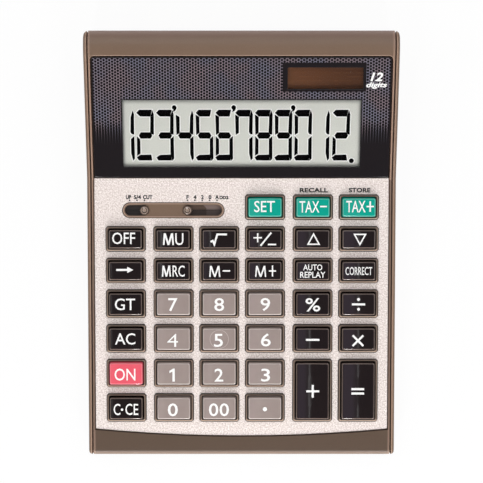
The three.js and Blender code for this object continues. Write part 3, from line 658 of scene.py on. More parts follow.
def mitred(points, distance, blunt=0.0, closed=False):
    """A line or a closed outline moved to its right side, with mitred corners."""
    last = len(points) - 1
    moved = []
    for index, point in enumerate(points):
        before = point - points[index - 1] if index > 0 or closed else None
        after = points[(index + 1) % len(points)] - point if index < last or closed else None
        ways = [(before or after).normalized(), (after or before).normalized()]
        normals = [Vector((way.y, -way.x)) for way in ways]
        mitre = (normals[0] + normals[1]) / max(blunt, 1 + normals[0].dot(normals[1]))
        moved.append(tuple(point + mitre * distance))
    return moved


def stroke(points, width):
    """The outline of a line of even width."""
    points = [Vector(point) for point in points]
    return mitred(points, width / 2) + mitred(points, -width / 2)[::-1]


def opening(left, right, front, back, grow=0.0):
    """The corners of a rectangle, moved outwards by what it grows."""
    left, right, front, back = left - grow, right + grow, front - grow, back + grow
    return [(left, front), (right, front), (right, back), (left, back)]


def bar_at(x, y, width, height):
    return opening(x - width / 2, x + width / 2, y - height / 2, y + height / 2)


def cross(width, height, line, turn=0.0):
    """A plus sign as one outline, turned by an angle for the times sign."""
    side, top, half = width / 2, height / 2, line / 2
    quarter = [(side, half), (half, half), (half, top)]
    upper = quarter + [(-x, y) for x, y in reversed(quarter)]
    loop = upper + [(-x, -y) for x, y in upper]
    along, up = cos(turn), sin(turn)
    return [(x * along - y * up, x * up + y * along) for x, y in loop]


def dot_at(x, y, radius, sides=20):
    return arc(x, y, radius, 0, 2 * pi, sides)[:-1]


def triangle(width, height, line):
    """An upright triangle drawn as an outline of even width."""
    side, top = width / 2, height / 2
    slope = hypot(side, height)
    inset_base = line * (slope + side) / height
    inset_top = line * slope / side
    inner = [(-side + inset_base, -top + line), (side - inset_base, -top + line), (0, top - inset_top)]
    return [[(-side, -top), (side, -top), (0, top)], inner]


def symbol(*loops):
    return slab(loops, -1, 1)


def letter_m(width, height, line=0.15):
    """A capital M with slightly spread legs. The line is a share of its width."""
    lighter = 0.15 - line
    right = [
        (0.57 * line, -0.5), (0.295 + lighter, 0.16 + 2 * lighter), (0.5 - line, -0.5),
        (0.5, -0.5), (0.42, 0.5), (0.235 + lighter, 0.5),
    ]
    loop = right + [(0, -0.22 - 2.5 * lighter)] + [(-x, y) for x, y in reversed(right)]
    return symbol([(x * width, y * height) for x, y in loop])


arrow_shape = [(-4.15, -0.5), (1.2, -0.5), (1.2, -1.5), (4.15, 0), (1.2, 1.5), (1.2, 0.5), (-4.15, 0.5)]
root_line = [(-4.0, -1.2), (-2.95, -0.7), (-2.2, -2.4), (-0.75, 2.4), (3.95, 2.4)]
one_shape = [(0.15, -3.2), (1.3, -3.2), (1.3, 3.2), (0.5, 3.2), (-1.3, 2.1), (-1.3, 0.95), (0.15, 1.75)]
bold = 0.009
legends = {
    "set": [(word("SET", 10.0, 5.5), -0.3, 0.5)],
    "tax_minus": [(word("TAX", 9.6, 5.6), -1.85, 0.35), (symbol(bar_at(0, 0, 3.3, 0.7)), 5.05, 0.5)],
    "tax_plus": [(word("TAX", 9.3, 5.6), -1.6, 0.5), (symbol(cross(3.5, 5.1, 0.7)), 5.3, 0.5)],
    "off": [(word("OFF", 11.1, 5.7), -0.75, 0.5)],
    "mu": [(letter_m(5.4, 5.7), -2.3, 0.1), (word("U", 4.0, 5.8), 3.0, 0.1)],
    "root": [(symbol(stroke(root_line, 0.9)), -0.15, 0)],
    "sign": [
        (symbol(cross(4.1, 4.4, 0.65)), -3.6, 0.8),
        (symbol(stroke([(-2.6, -3.2), (2.6, 3.2)], 0.8)), 0.4, 0.1),
        (symbol(bar_at(0, 0, 4.0, 0.7)), 3.35, -2.5),
    ],
    "step_up": [(symbol(*triangle(6.5, 6.0, 0.66)), 0.25, 0.3)],
    "step_down": [(symbol(*[[(x, -y) for x, y in loop] for loop in triangle(6.5, 5.9, 0.66)]), 0.45, -0.2)],
    "backspace": [(symbol(arrow_shape), -0.3, 0.55)],
    "mrc": [(letter_m(4.4, 5.4), -3.35, 0), (word("RC", 5.9, 5.5), 2.6, 0)],
    "m_minus": [(letter_m(5.4, 5.4, 0.12), -2.15, -0.15), (symbol(bar_at(0, 0, 3.7, 0.7)), 3.5, 0.1)],
    "m_plus": [(letter_m(5.4, 5.4, 0.12), -2.15, -0.15), (symbol(cross(3.5, 5.4, 0.66)), 3.6, 0.05)],
    "auto_replay": [
        (word("AUTO", 9.3, 2.9, 0.01), -0.1, 1.8), (word("REPLAY", 12.3, 2.95, 0.01), -0.1, -1.8),
    ],
    "correct": [(word("CORRECT", 12.95, 3.95), 0, 0)],
    "gt": [(word("GT", 9.9, 5.75), -0.3, 0)],
    "ac": [(word("AC", 9.9, 5.6), -0.3, 0.15)],
    "on": [(word("ON", 10.2, 5.9), -0.5, -0.3)],
    "clear": [
        (word("C", 3.3, 5.6), -4.5, -0.4), (symbol(dot_at(0, 0, 0.62)), -2.05, -0.55),
        (word("CE", 6.3, 5.6), 2.75, -0.4),
    ],
    "percent": [(word("%", 7.2, 6.55, 0.009), 0.05, -0.2)],
    "divide": [
        (symbol(bar_at(0, 0, 6.4, 1.0), dot_at(0, 2.4, 0.73), dot_at(0, -2.4, 0.73)), -0.05, 0),
    ],
    "minus": [(symbol(bar_at(0, 0, 6.6, 1.0)), 0, -0.3)],
    "multiply": [(symbol(cross(7.3, 7.3, 1.0, pi / 4)), -0.2, -0.7)],
    "plus": [(symbol(cross(6.3, 6.3, 1.0)), 0.1, 0)],
    "equals": [(symbol(bar_at(0, y, 6.2, 1.05)), -0.15, 0) for y in (1.08, -1.08)],
    "point": [(symbol(dot_at(0, 0, 1.05)), 0, -0.3)],
    "00": [(word("0", 4.6, 6.4, bold), x, -0.55) for x in (-2.8, 2.4)],
    "1": [(symbol(one_shape), -0.75, -0.55)],
}
digits = {
    "0": (4.9, -0.45, -0.6), "2": (4.3, -0.2, -0.55), "3": (4.4, 0.3, -0.55),
    "4": (5.2, -0.45, -0.55), "5": (4.4, -0.4, -0.6), "6": (4.8, 0.4, -0.35),
    "7": (4.5, -0.25, -0.15), "8": (4.8, 0, -0.1), "9": (4.7, 0.15, -0.05),
}
for digit, (width, x, y) in digits.items():
    weight = -0.008 if digit == "4" else bold
    legends[digit] = [(word(digit, width, 6.4, weight), x, y)]


corner_steps = 6


def rounded(width, depth, corner, z=0.0):
    """Points round a rectangle with round corners, with more along its sides."""
    right, back = width / 2 - corner, depth / 2 - corner
    steps = [[(1, 1), (-1, 1), 10], [(-1, 1), (-1, -1), 8], [(-1, -1), (1, -1), 10], [(1, -1), (1, 1), 8]]
    points = []
    for turn, (here, there, count) in enumerate(steps):
        for step in range(corner_steps + 1):
            angle = pi / 2 * (turn + step / corner_steps)
            x, y = here[0] * right + corner * cos(angle), here[1] * back + corner * sin(angle)
            points.append(Vector((x, y, z)))
        start = points[-1]
        normal = Vector((cos(angle), sin(angle), 0)) * corner
        end = Vector((there[0] * right, there[1] * back, z)) + normal
        points += [start.lerp(end, step / count) for step in range(1, count)]
    return points


cap_lip = 0.9
cap_lip_thickness = 0.8
cap_wall = 1.2
cap_draft = 0.3
cap_corner = 0.8
cap_fillet = 0.6
# Shares of painted highlight along a cap's fillet, strongest on its front edge, and on the rim of the 5's
# dish.
cap_highlight_shares = (0.1, 0.5, 1.0, 1.0, 0.8, 0.3, 0.0)
front_highlight, other_highlight, dish_rim_highlight = 1.0, 0.55, 0.7
cap_hollow = 0.32
plunger_size = 3.6
dish_radius = 4.5
dish_depth = 0.42


def cap_surface(name, foot_width, cap_rise):
    """How high the top of a cap is at a place on it."""
    half = foot_width / 2 - cap_draft - cap_fillet

    def height(x, y):
        share = min(1, abs(x) / half)
        reach = hypot(x, y) / dish_radius
        dish = dish_depth * (1 - reach * reach) if name == "key_5" and reach < 1 else 0
        return cap_rise - cap_hollow * (1 - share * share) - dish

    return height


def cap_mesh(name, foot_width, foot_depth, low, high, height):
    ceiling = high - cap_wall

    def ring(grow, z, corner=cap_corner):
        return rounded(foot_width + 2 * grow, foot_depth + 2 * grow, corner, z)

    rings = [
        rounded(plunger_size - 0.4, plunger_size - 0.4, 0.4, low),
        rounded(plunger_size, plunger_size, 0.6, low + 0.2),
        rounded(plunger_size, plunger_size, 0.6, ceiling),
        ring(-cap_draft - cap_wall, ceiling),
        ring(-cap_wall, low),
        ring(cap_lip, low),
        ring(cap_lip, low + cap_lip_thickness),
        ring(0, low + cap_lip_thickness),
        ring(-cap_draft * 0.7, high - cap_fillet - 0.3),
    ]
    fillet_start = len(rings)
    for step in range(len(cap_highlight_shares)):
        angle = pi / 2 * step / (len(cap_highlight_shares) - 1)
        inset = cap_draft + cap_fillet * (1 - cos(angle))
        edge = ring(-inset, high - cap_fillet * (1 - sin(angle)), cap_corner - inset * 0.3)
        for point in edge:
            point.z += (height(point.x, point.y) - high) * sin(angle)
        rings.append(edge)
    flat = cap_draft + cap_fillet
    half = min(foot_width, foot_depth) / 2
    insets = [flat + step for step in (0.25, 1.2, 2.4, 3.4, 4.4, 5.2) if flat + step < half - 0.2]
    insets.append(half - 0.02)
    for inset in insets[:1] if name == "key_5" else insets:
        corner = max(0.01, min(cap_corner - flat * 0.3, half - inset))
        rings.append([Vector((p.x, p.y, height(p.x, p.y))) for p in ring(-inset, 0, corner)])
    if name == "key_5":
        dish_rings = [dish_radius + step for step in (0.16, 0.01, -0.14)] + [4.0, 3.2, 2.4, 1.6, 0.8, 0.02]
        for radius in dish_rings:
            ways = [point.normalized() * radius for point in rounded(foot_width, foot_depth, cap_corner)]
            rings.append([Vector((way.x, way.y, height(way.x, way.y))) for way in ways])
    work = skinned(rings)
    work.verts.ensure_lookup_table()
    painted_highlight = work.verts.layers.float.new("painted_highlight")
    for step, share in enumerate(cap_highlight_shares, fillet_start):
        for index in range(step * len(rings[0]), (step + 1) * len(rings[0])):
            at_front = work.verts[index].co.y < 1.2 - foot_depth / 2
            work.verts[index][painted_highlight] = share * (front_highlight if at_front else other_highlight)
    for vertex in work.verts:
        on_rim = abs(hypot(vertex.co.x, vertex.co.y) - dish_radius - 0.01) < 0.005
        if name == "key_5" and on_rim and vertex.co.z > high - 1:
            vertex[painted_highlight] = dish_rim_highlight
    return work


def merge(whole, part):
    """Adds a bmesh to another one, and frees it."""
    flat = bpy.data.meshes.new("part")
    part.to_mesh(flat)
    part.free()
    whole.from_mesh(flat)
    bpy.data.meshes.remove(flat)


ink_half_width = 7


def printed(shapes, plane, surface, name, ink, drape=False, rise=0.035, sink=0.05):
    """Thin ink laid on a surface given by its height, and cut every millimetre if it drapes."""
    whole = bmesh.new()
    for shape, x, y in shapes:
        for cut_x in range(-ink_half_width, ink_half_width + 1) if drape else ():
            geometry = shape.verts[:] + shape.edges[:] + shape.faces[:]
            bmesh.ops.bisect_plane(shape, geom=geometry, plane_co=(cut_x, 0, 0), plane_no=(1, 0, 0))
        for vertex in shape.verts:
            top = vertex.co.z > 0
            vertex.co.x += x
            vertex.co.y += y
            vertex.co.z = surface(vertex.co.x, vertex.co.y) + (rise if top else -sink)
        merge(whole, shape)
    return new_piece(name, whole, ink, plane, smooth=False)


cap_slots = {
    "set": (green_caps, "green_key_plastic"),
    "tax_minus": (green_caps, "green_key_plastic"),
    "tax_plus": (green_caps, "green_key_plastic"),
    "on": (pink_caps, "pink_key_plastic"),
}
for key in ("0", "00", "1", "2", "3", "4", "5", "6", "7", "8", "9", "point"):
    cap_slots[key] = (grey_caps, "grey_key_plastic")
for name, spot in key_spots.items():
    key = name.removeprefix("key_")
    plastic, slot = cap_slots.get(key, (black_caps, "black_key_plastic"))
    low, high = local_box(name, deck)
    foot_width = high.x - low.x - 2 * cap_lip
    foot_depth = high.y - low.y - 2 * cap_lip
    height = cap_surface(name, foot_width, high.z)
    work = cap_mesh(name, foot_width, foot_depth, low.z, high.z, height)
    fit(new_piece(f"cap_{key}", work, plastic, over(spot)), name, slot, [name])
    fit(printed(legends[key], over(spot), height, f"legend_{key}", white_ink, drape=True), name)


# Slide knobs
# Two round knobs for rounding and decimal places. Each has a stem through the slit in its
# slot and a foot under the deck that moves the switch.
def knob_painted_shade(finish, colour):
    """Painted shade round the edge of each knob and a little in its dish."""
    height = finish.axes(finish.place(deck))[2]
    return finish.tinted(colour, (finish.band(height, 0.82, 0.92, 1.1, 1.18) * 0.8, (40, 30, 25)))


beige_knobs = moulded("beige_knob_skin", (142, 122, 108), (156, 136, 122), 0.14, 0.5, 0.004, knob_painted_shade)
knob_low, knob_high = local_box("rounding_knob", deck)
knob_spots = {name: middle(name, deck) for name in ("rounding_knob", "decimal_knob")}
slot_floor = -1.3
knob_foot = slot_floor + 0.3
knob_radius = 2.15
foot_top = knob_low.z + 0.7
side_profile = [(0.1, knob_foot), (0, knob_foot + 0.2), (0, knob_high.z - 0.5)]
rim_profile = [(0.1, 0.25), (0.35, 0.06), (0.6, 0)]
dimple_profile = [(1.4, 0.04), (1.25, 0.14), (0.95, 0.34), (0.6, 0.48), (0.3, 0.54), (0.02, 0.55)]
knob_profile = [(knob_radius - inset, z) for inset, z in side_profile]
knob_profile += [(knob_radius - inset, knob_high.z - drop) for inset, drop in rim_profile]
knob_profile += [(radius, knob_high.z - drop) for radius, drop in dimple_profile]
for name, spot in knob_spots.items():
    knob_rings = [
        rounded(5.0, 4.2, 0.4, knob_low.z),
        rounded(5.0, 4.2, 0.4, foot_top),
        rounded(2.4, 1.2, 0.2, foot_top),
        rounded(2.4, 1.2, 0.2, knob_foot),
    ]
    ways = [point.normalized() for point in rounded(4.0, 4.0, 1.9)]
    for radius, z in knob_profile:
        knob_rings.append([Vector((way.x * radius, way.y * radius, z)) for way in ways])
    knob = new_piece(name.replace("knob", "slide_knob"), skinned(knob_rings), beige_knobs, over(spot))
    fit(knob, name, "case_plastic", [name])


# Display glasses
# A reflective liquid crystal glass and an amorphous solar cell, both held under the bed
# and seen through the window. The segments are etched in the glass and show near black.
glass = Finish("grey_lcd_glass", bed)
glass_x, glass_y = glass.axes(glass.at)[:2]
glass_grain = glass.noise(0.4)
glass_tint = glass.ease(glass_y, 4.0, 38.0) * 0.4 + glass_grain * 0.3
# A painted shadow of the window's edges darkens the glass along the sides and the bottom of the opening, and
# most widely along its top.
glass_sides = glass.ease(57.2 - abs(glass_x), -0.2, 1.6) * glass.ease(glass_y, 5.0, 6.5)
glass_edge_shadow = 1 - glass_sides * glass.ease(38.25 - glass_y, -0.4, 2.6)
glass_colour = glass.mix(glass_tint, (216, 217, 208), (206, 207, 199))
dressed("lcd_panel", glass.paint({
    "Base Color": glass.tinted(glass_colour, (glass_edge_shadow * 0.7, (96, 98, 98))),
    "Roughness": 0.3 + glass_grain * 0.1,
}))

solar = Finish("brown_solar_film", bed)
solar_x, solar_y = solar.axes(solar.at)[:2]
streaks_per_mm = 0.35
streak = solar.noise(1 / streaks_per_mm, 1.0)
solar_share = solar.ease(solar_x, 20.3, 58.7)
solar_rows = solar.math("FRACT", solar_y / 1.9 + streak * 0.3)
film_line = (solar_rows < 0.2) * solar.ease(streak, 0.35, 0.65) * 0.25
solar_base = solar.mix(solar_share * 0.8 + streak * 0.2, (104, 66, 42), (74, 44, 26))
dressed("solar_cell", solar.paint({
    "Base Color": solar.tinted(solar_base, (film_line, (140, 88, 52))),
    "Roughness": 0.2 + streak * 0.1,
}))

segments = {
    "a": [(0.02, 0.055), (0.17, 0), (0.88, 0), (0.805, 0.12), (0.22, 0.12)],
    "b": [(0.94, 0.01), (1, 0.083), (0.985, 0.478), (0.887, 0.473), (0.813, 0.432), (0.84, 0.14)],
    "c": [(1, 0.527), (0.83, 0.58), (0.83, 0.865), (0.92, 1), (1, 0.965)],
    "d": [(0.197, 0.90), (0, 0.947), (0.1, 1), (0.86, 1), (0.81, 0.895)],
    "e": [(0.01, 0.527), (0.172, 0.59), (0.172, 0.864), (0.01, 0.90)],
    "f": [(0, 0.10), (0.182, 0.14), (0.18, 0.45), (0.03, 0.482)],
    "g": [(0.135, 0.507), (0.25, 0.449), (0.778, 0.449), (0.885, 0.507), (0.8, 0.56), (0.225, 0.56)],
}
lit = {
    "1": "bc", "2": "abged", "3": "abgcd", "4": "fgbc", "5": "afgcd",
    "6": "afgcde", "7": "abcf", "8": "abcdefg", "9": "abcdfg", "0": "abcdef",
}
digit_pitch = 9.51
digit_width = 8.15
digit_height = 24.8
digits_left = -59.96
digits_foot = 8.3
digit_nudges = {10: -1.0, 11: -0.7}
comma_places = (3, 6, 9)
comma = [
    (0.95, 0), (0.67, 0.67), (0, 0.95), (-0.67, 0.67), (-0.95, 0), (-0.67, -0.67), (-0.1, -1.0),
    (-0.25, -1.5), (-0.9, -2.1), (0.1, -1.75), (0.75, -0.9),
]


def grown(loop, distance):
    """A closed outline moved outwards."""
    points = [Vector(corner) for corner in loop]
    area = sum(a.x * b.y - b.x * a.y for a, b in zip(points, points[1:] + points[:1]))
    return mitred(points if area > 0 else points[::-1], distance, 0.5, closed=True)


segment_loops = []
for index, digit in enumerate("123456789012"):
    left = digits_left + index * digit_pitch + digit_nudges.get(index, 0)
    for letter in lit[digit]:
        segment_loops.append([
            (left + x * digit_width, digits_foot + (1 - y) * digit_height) for x, y in segments[letter]
        ])
comma_middle = digits_foot + digit_height + 1.3
for place in comma_places:
    x = digits_left + place * digit_pitch - 0.85
    segment_loops.append([(x + a, comma_middle + b) for a, b in comma])
last_right = digits_left + 12 * digit_pitch - 0.9
segment_loops.append(dot_at(last_right, digits_foot - 0.3, 1.0, 16))

film_top = local_box("lcd_panel", bed)[1].z + 0.2
film_work = slab([opening(-57.8, 57.8, 4.4, 38.9)], film_top - 0.19, film_top)
fit(new_piece("lcd_polariser", film_work, glass.material, bed, smooth=False), "case", "lcd_glass")
no_shine = {"Specular IOR Level": 0.0}
segment_ink = marked("etched_segment", (2, 2, 3), (5, 4, 5), 3.0, 2.0, 0.5, 0.1, plane=bed, more=no_shine)
pale_rim = marked("segment_rim", (255, 255, 252), (250, 250, 247), 3.0, 2.0, 0.35, 0.1, plane=bed)
for name, ink, spread, rise in (
    ("lcd_segments", segment_ink, 0.21, 0.04), ("lcd_segment_rims", pale_rim, 0.6, 0.02),
):
    shapes = [(symbol(grown(loop, spread)), 0, 0) for loop in segment_loops]
    fit(printed(shapes, bed, lambda x, y: film_top, name, ink, rise=rise, sink=0), "case")


# Upper case
# A shell of the same brown ABS that carries the deck, a collar round every key, the boss
# of the slide switches and the display bed with its tall rear crest.
boss_middle, boss_line, boss_straight = -33.15, 110.9, 21.08
boss_front, boss_right = 106.0, -5.0
deck_end = 126.0


def shell_painted_light(finish, colour):
    """Painted highlights along edges and on the back of the crest, painted shade on walls and in gaps, and a
    chin painted darker as shade.
    """
    deck_x, deck_y, deck_z = finish.axes(finish.place(deck))
    bed_x, bed_y, bed_z = finish.axes(finish.place(bed))
    x, y = finish.axes(finish.at)[:2]
    on_deck = 1 - finish.ease(deck_y, deck_end - 0.5, deck_end)
    boss = (deck_y > boss_front) * (deck_x < boss_right)
    # Painted shade: the shell is darkened on its walls and in its gaps below the height of its rim, except on
    # the chin.
    wall_shade = on_deck * (1 - finish.ease(deck_z + boss * 0.9, 0.6, 0.96))
    # Painted highlight along the rim of the switch boss.
    past_boss = finish.larger(abs(deck_x - boss_middle) - boss_straight, 0.0)
    boss_reach = finish.distance(past_boss, deck_y - boss_line)
    boss_rim_highlight = on_deck * boss * finish.band(boss_reach, 2.85, 3.05, 3.25, 3.45)
    # Painted shade darkens the chin in front of the keys, and a painted highlight lightens its rounded front
    # edge.
    chin = 1 - finish.ease(deck_y, 4.5, 5.5)
    chin_front = 1 - finish.ease(y, -101.6, -100.9)
    # Painted highlight along the rim round the display bed.
    past_x = finish.larger(abs(bed_x) - 69.5, 0.0)
    past_y = finish.larger(bed_y - 57.3, 0.0)
    past_corner = finish.distance(past_x, past_y)
    bezel_highlight = finish.band(past_corner, 1.9, 2.1, 2.6, 2.9) * (bed_z > -0.2) * (1 - on_deck)
    return finish.tinted(
        colour,
        # Painted highlight: the back of the crest is lighter.
        (finish.ease(y, 96.5, 102.0) * 0.45, (150, 125, 119)),
        # Painted shade on walls and in gaps.
        (wall_shade * (1 - chin) * 0.85, (30, 20, 16)),
        # Painted highlight on the boss rim.
        (boss_rim_highlight * 0.6, (190, 162, 144)),
        # Painted shade on the chin.
        (chin * (1 - chin_front) * 0.5, (24, 13, 2)),
        # Painted highlight on the chin's front edge.
        (chin_front * 0.15, (176, 148, 130)),
        # Painted highlight along the side edges of the shell.
        (finish.ease(abs(x), 71.6, 71.9) * 0.4, (172, 142, 124)),
        # Painted highlight on the bezel rim.
        (bezel_highlight * 0.8, (200, 162, 140)),
    )


shell_skin = moulded("brown_shell_skin", *brown, painted_light=shell_painted_light)
shell_work = welded_copy("upper_case")
long_rim, rim_step = 0.05, 0.008
for edge in list(shell_work.edges):
    length = edge.calc_length()
    if length > long_rim and edge.calc_face_angle(0) > sharp:
        for cut in range(int(length / rim_step), 0, -1):
            bmesh.utils.edge_split(edge, edge.verts[1], 1 / (cut + 1))
shell_work.normal_update()
shell_walls = BVHTree.FromBMesh(shell_work)
off_deck, off_bed = deck.inverted(), bed.inverted()
rim_height, deck_half, chin_line = 0.67, 71.4, 3
rim_share, shell_share = 0.8, 0.45


def shell_rounding(edge):
    """The bed's rim is rounded most. The inside, the collar feet and the slits stay sharp."""
    ends = [off_bed @ vertex.co for vertex in edge.verts]
    if all(abs(end.z - rim_height) < 0.2 and abs(end.x) < 72.0 for end in ends):
        return rim_share
    spot = (edge.verts[0].co + edge.verts[1].co) / 2
    outwards = sum((face.normal for face in edge.link_faces), Vector()).normalized()
    on_deck = off_deck @ spot
    by_boss = on_deck.y > boss_front and on_deck.x < boss_right and on_deck.z > slot_floor + 0.3
    by_collar = abs(on_deck.x) < deck_half and chin_line < on_deck.y < deck_end and not by_boss
    inside = outwards.z < -0.2 or shell_walls.ray_cast(spot + outwards * 2e-5, outwards)[0]
    return 0 if by_collar or inside else shell_share


collar_foot = 0.2
collar_height = 1.0
for vertex in shell_work.verts:
    spot = off_deck @ vertex.co
    if abs(spot.z - collar_height) < 0.05 and spot.y < deck_end - 1:
        vertex.co = deck @ Vector((spot.x, spot.y, collar_foot))
shell = soften(new_piece("case_shell", shell_work, shell_skin), 0.45, 3, shell_rounding)
fit(shell, "case", "case_plastic", ["upper_case"])


def collar_crown_highlight(finish, colour):
    """The crown of each collar has a painted highlight, strongest on its front bar."""
    return finish.tinted(colour, (finish.painted_highlight(), (196, 170, 150)))


collar_gap = 0.3
# The collar plastic is painted near black as shade. The third number of each profile point is its share of
# painted highlight.
collar_profile = [
    (0.02, -0.3, 0), (0.02, 0.5, 0), (0.08, 0.76, 0.1), (0.22, 0.93, 0.6), (0.42, 1.0, 1.0), (0.6, 0.98, 0.9),
    (0.78, 0.87, 0.4), (0.92, 0.62, 0), (0.98, 0.2, 0), (0.98, -0.3, 0),
]
collar_skin = moulded("collar_skin", (30, 21, 17), (40, 29, 24), painted_light=collar_crown_highlight)
collars = bmesh.new()
painted_highlight = collars.verts.layers.float.new("painted_highlight")
for name, spot in key_spots.items():
    low, high = local_box(name, deck)
    loops = []
    for out, z, share in collar_profile:
        grow = 2 * (collar_gap + out - cap_lip)
        width, depth, corner = high.x - low.x + grow, high.y - low.y + grow, 0.8 + 0.2 * out
        loops.append([])
        for point in rounded(width, depth, corner, z):
            to_back = (abs(point.y) - depth / 2 + corner) / corner
            # The painted highlight is strongest on the front bar and weaker on the rear bar.
            lean = max(0, to_back) * (0.5 if point.y < 0 else -0.12)
            corner_point = collars.verts.new(point + Vector((spot.x, spot.y, 0)))
            corner_point[painted_highlight] = share * (0.5 + lean)
            loops[-1].append(corner_point)
    for inner, outer in zip(loops, loops[1:] + loops[:1]):
        for index in range(len(inner)):
            collars.faces.new((inner[index - 1], inner[index], outer[index], outer[index - 1]))
bmesh.ops.recalc_face_normals(collars, faces=collars.faces)
fit(new_piece("collar_rims", collars, collar_skin, deck), "case", "case_plastic")


def liner_painted_shade(finish, colour):
    """The floor of the left slot lies in the dark, painted as shade, and the front of each floor is painted
    darker as shade. A brown shutter fills half the right one.
    """
    x, y = finish.axes(finish.place(deck))[:2]
    shutter_corner = finish.larger(y - 111.9, 0.0)
    bare = finish.ease(x + shutter_corner, -17.25, -16.95)
    bare_colour = finish.mix(finish.ease(x, -13.5, -9.0), (122, 104, 98), (84, 68, 64))
    # Painted shade: the front of each slot floor is darker than its back.
    rear = finish.ease(y - slot_middle, -0.8, 1.6)
    # Painted shade over the whole floor of the left slot.
    left = 1 - finish.ease(x, -40.0, -38.0)
    colour = finish.mix(bare, colour, bare_colour)
    return finish.tinted(colour, ((1 - rear) * 0.75, (22, 14, 10)), (left, (30, 22, 18)))


slot_middle = knob_spots["decimal_knob"].y
dark_liner = moulded("dark_slot_liner", (72, 54, 42), (88, 66, 52), 0.45, 0.4, 0.01, liner_painted_shade)
switch_step = 3.6
slot_travels = {"rounding_knob": -2 * switch_step, "decimal_knob": 4 * switch_step}


def stadium(x, y, length, width, sides=10):
    half, radius = length / 2 - width / 2, width / 2
    right = arc(x + half, y, radius, -pi / 2, pi, sides)
    return right + arc(x - half, y, radius, pi / 2, pi, sides)


liners = bmesh.new()
for name, spot in knob_spots.items():
    travel = slot_travels[name]
    x = spot.x + travel / 2
    outer = stadium(x, spot.y, abs(travel) + 2 * (knob_radius + 0.2) - 0.1, 4.95)
    slit = bar_at(x, spot.y, abs(travel) + 2.4 + 0.6, 0.3)
    merge(liners, slab([outer, slit], slot_floor - 0.01, slot_floor + 0.1))
fit(new_piece("slot_liners", liners, dark_liner, deck, smooth=False), "case", "case_plastic")


# Case screws
# Four zinc-plated pan-head screws in deep wells in the floor, with a cross recess. They run
# up into the bosses of the upper case and hold the two halves together.
zinc = marked("zinc_plate", (160, 162, 166), (196, 194, 186), 0.6, 5.0, 0.26, 0.22, 0.01, more=metal)
for end in ("front", "rear"):
    screw_nodes = [f"case_screw_{end}_{side}" for side in ("left", "right")]
    screw_low, screw_high = local_box(screw_nodes[0])
    screw = Pattern(f"pan_head_screws_{end}", {
        "Head Radius": (screw_high.x - screw_low.x) / 2, "Head Height": 1.7, "Dome": 0.9,
        "Length": screw_high.z - screw_low.z, "Shank Radius": 1.2,
        "Recess": 1.15, "Recess Width": 0.62, "Recess Length": 3.1,
    })
    given = screw.given
    head_radius, head_height, length = given["Head Radius"], given["Head Height"], given["Length"]
    head = screw.cylinder(32, head_radius, head_height, 8)
    head_x, head_y, head_z = screw.axes(screw.node("GeometryNodeInputPosition"))
    head_reach = (head_x * head_x + head_y * head_y) / (head_radius * head_radius)
    head = screw.shaped(head, (head_z < 0.0) * head_reach * given["Dome"])
    head = screw.raised(head, head_height / 2)
    shank = screw.cylinder(24, given["Shank Radius"], length - head_height)
    shank = screw.raised(shank, (length + head_height) / 2)
    sides = [given["Recess Length"], given["Recess Width"]]
    sizes = [screw.vector(*order, given["Recess"] * 2) for order in (sides, sides[::-1])]
    recess = screw.joined(*[screw.node("GeometryNodeMeshCube", {"Size": size}) for size in sizes])
    cut = screw.node("GeometryNodeMeshBoolean", {"Mesh 1": head}, operation="DIFFERENCE")
    screw.node_tree.links.new(recess.output, cut.output.node.inputs["Mesh 2"])
    whole = screw.repeated(screw.joined(cut, shank))
    screw_spots = [Vector((*middle(name).xy, screw_low.z)) for name in screw_nodes]
    screws = screw.grow(whole, screw_spots, millimetres, f"pan_head_screws_{end}", zinc)
    screws.data.shade_flat()
    fit(screws, "case", "zinc_steel", screw_nodes)


# Face plate
# A champagne anodised aluminium sheet, stamped out round every collar and glued to the
# deck. Its face is finely blasted, and the small marks are printed in black.
champagne = Finish("champagne_anodised", deck)
blast = champagne.noise(0.75)
blast_fine = champagne.noise(0.45)
speck = champagne.ease(blast * 0.5 + blast_fine * 0.5, 0.36, 0.64)
plate_skin = champagne.paint({
    "Base Color": champagne.mix(speck, (208, 193, 185), (253, 244, 239)),
    "Metallic": 0.12,
    "Roughness": 0.42 + speck * 0.12,
    "Normal": champagne.relief(speck, 0.012),
})
plate = soften(new_piece("champagne_plate", welded_copy("face_plate"), plate_skin), 0.08, 1)
fit(plate, "case", "plate_aluminium", ["face_plate"])

black_ink = marked("black_plate_ink", (10, 8, 9), (24, 20, 21), 0.6, 4.0, 0.5, 0.15, plane=deck)
mark_row, label_row, key_label_row = 115.75, 117.3, 120.7
marks = []
for name, spot in knob_spots.items():
    travel = slot_travels[name]
    for step in range(round(abs(travel) / switch_step) + 1):
        x = spot.x + copysign(step * switch_step, travel)
        marks.append((symbol(dot_at(0, 0, 0.4, 12)), x, mark_row))
labels = [
    ("UP", -54.9, label_row, 2.6, 2.0), ("5/4", -50.6, label_row, 3.5, 2.0),
    ("CUT", -45.6, label_row, 4.6, 2.0), ("F", -26.2, label_row, 1.2, 2.0),
    ("4", -22.6, label_row, 1.4, 2.0), ("2", -19.0, label_row, 1.3, 2.0),
    ("0", -15.3, label_row, 1.4, 2.0), ("A", -11.9, label_row, 1.7, 2.0),
    ("DD2", -8.5, label_row - 0.2, 4.3, 1.6),
    ("RECALL", 35.16, key_label_row, 13.8, 2.2), ("STORE", 57.4, key_label_row, 10.5, 2.2),
]
strike = 0.1
for text, x, y, width, height in labels:
    for across in (-strike, strike):
        for along in (-strike, strike):
            marks.append((word(text, width - 2 * strike, height - 2 * strike, 0.004), x + across, y + along))
fit(printed(marks, deck, lambda x, y: 0.0, "plate_marks", black_ink, rise=0.02, sink=0.02), "case")


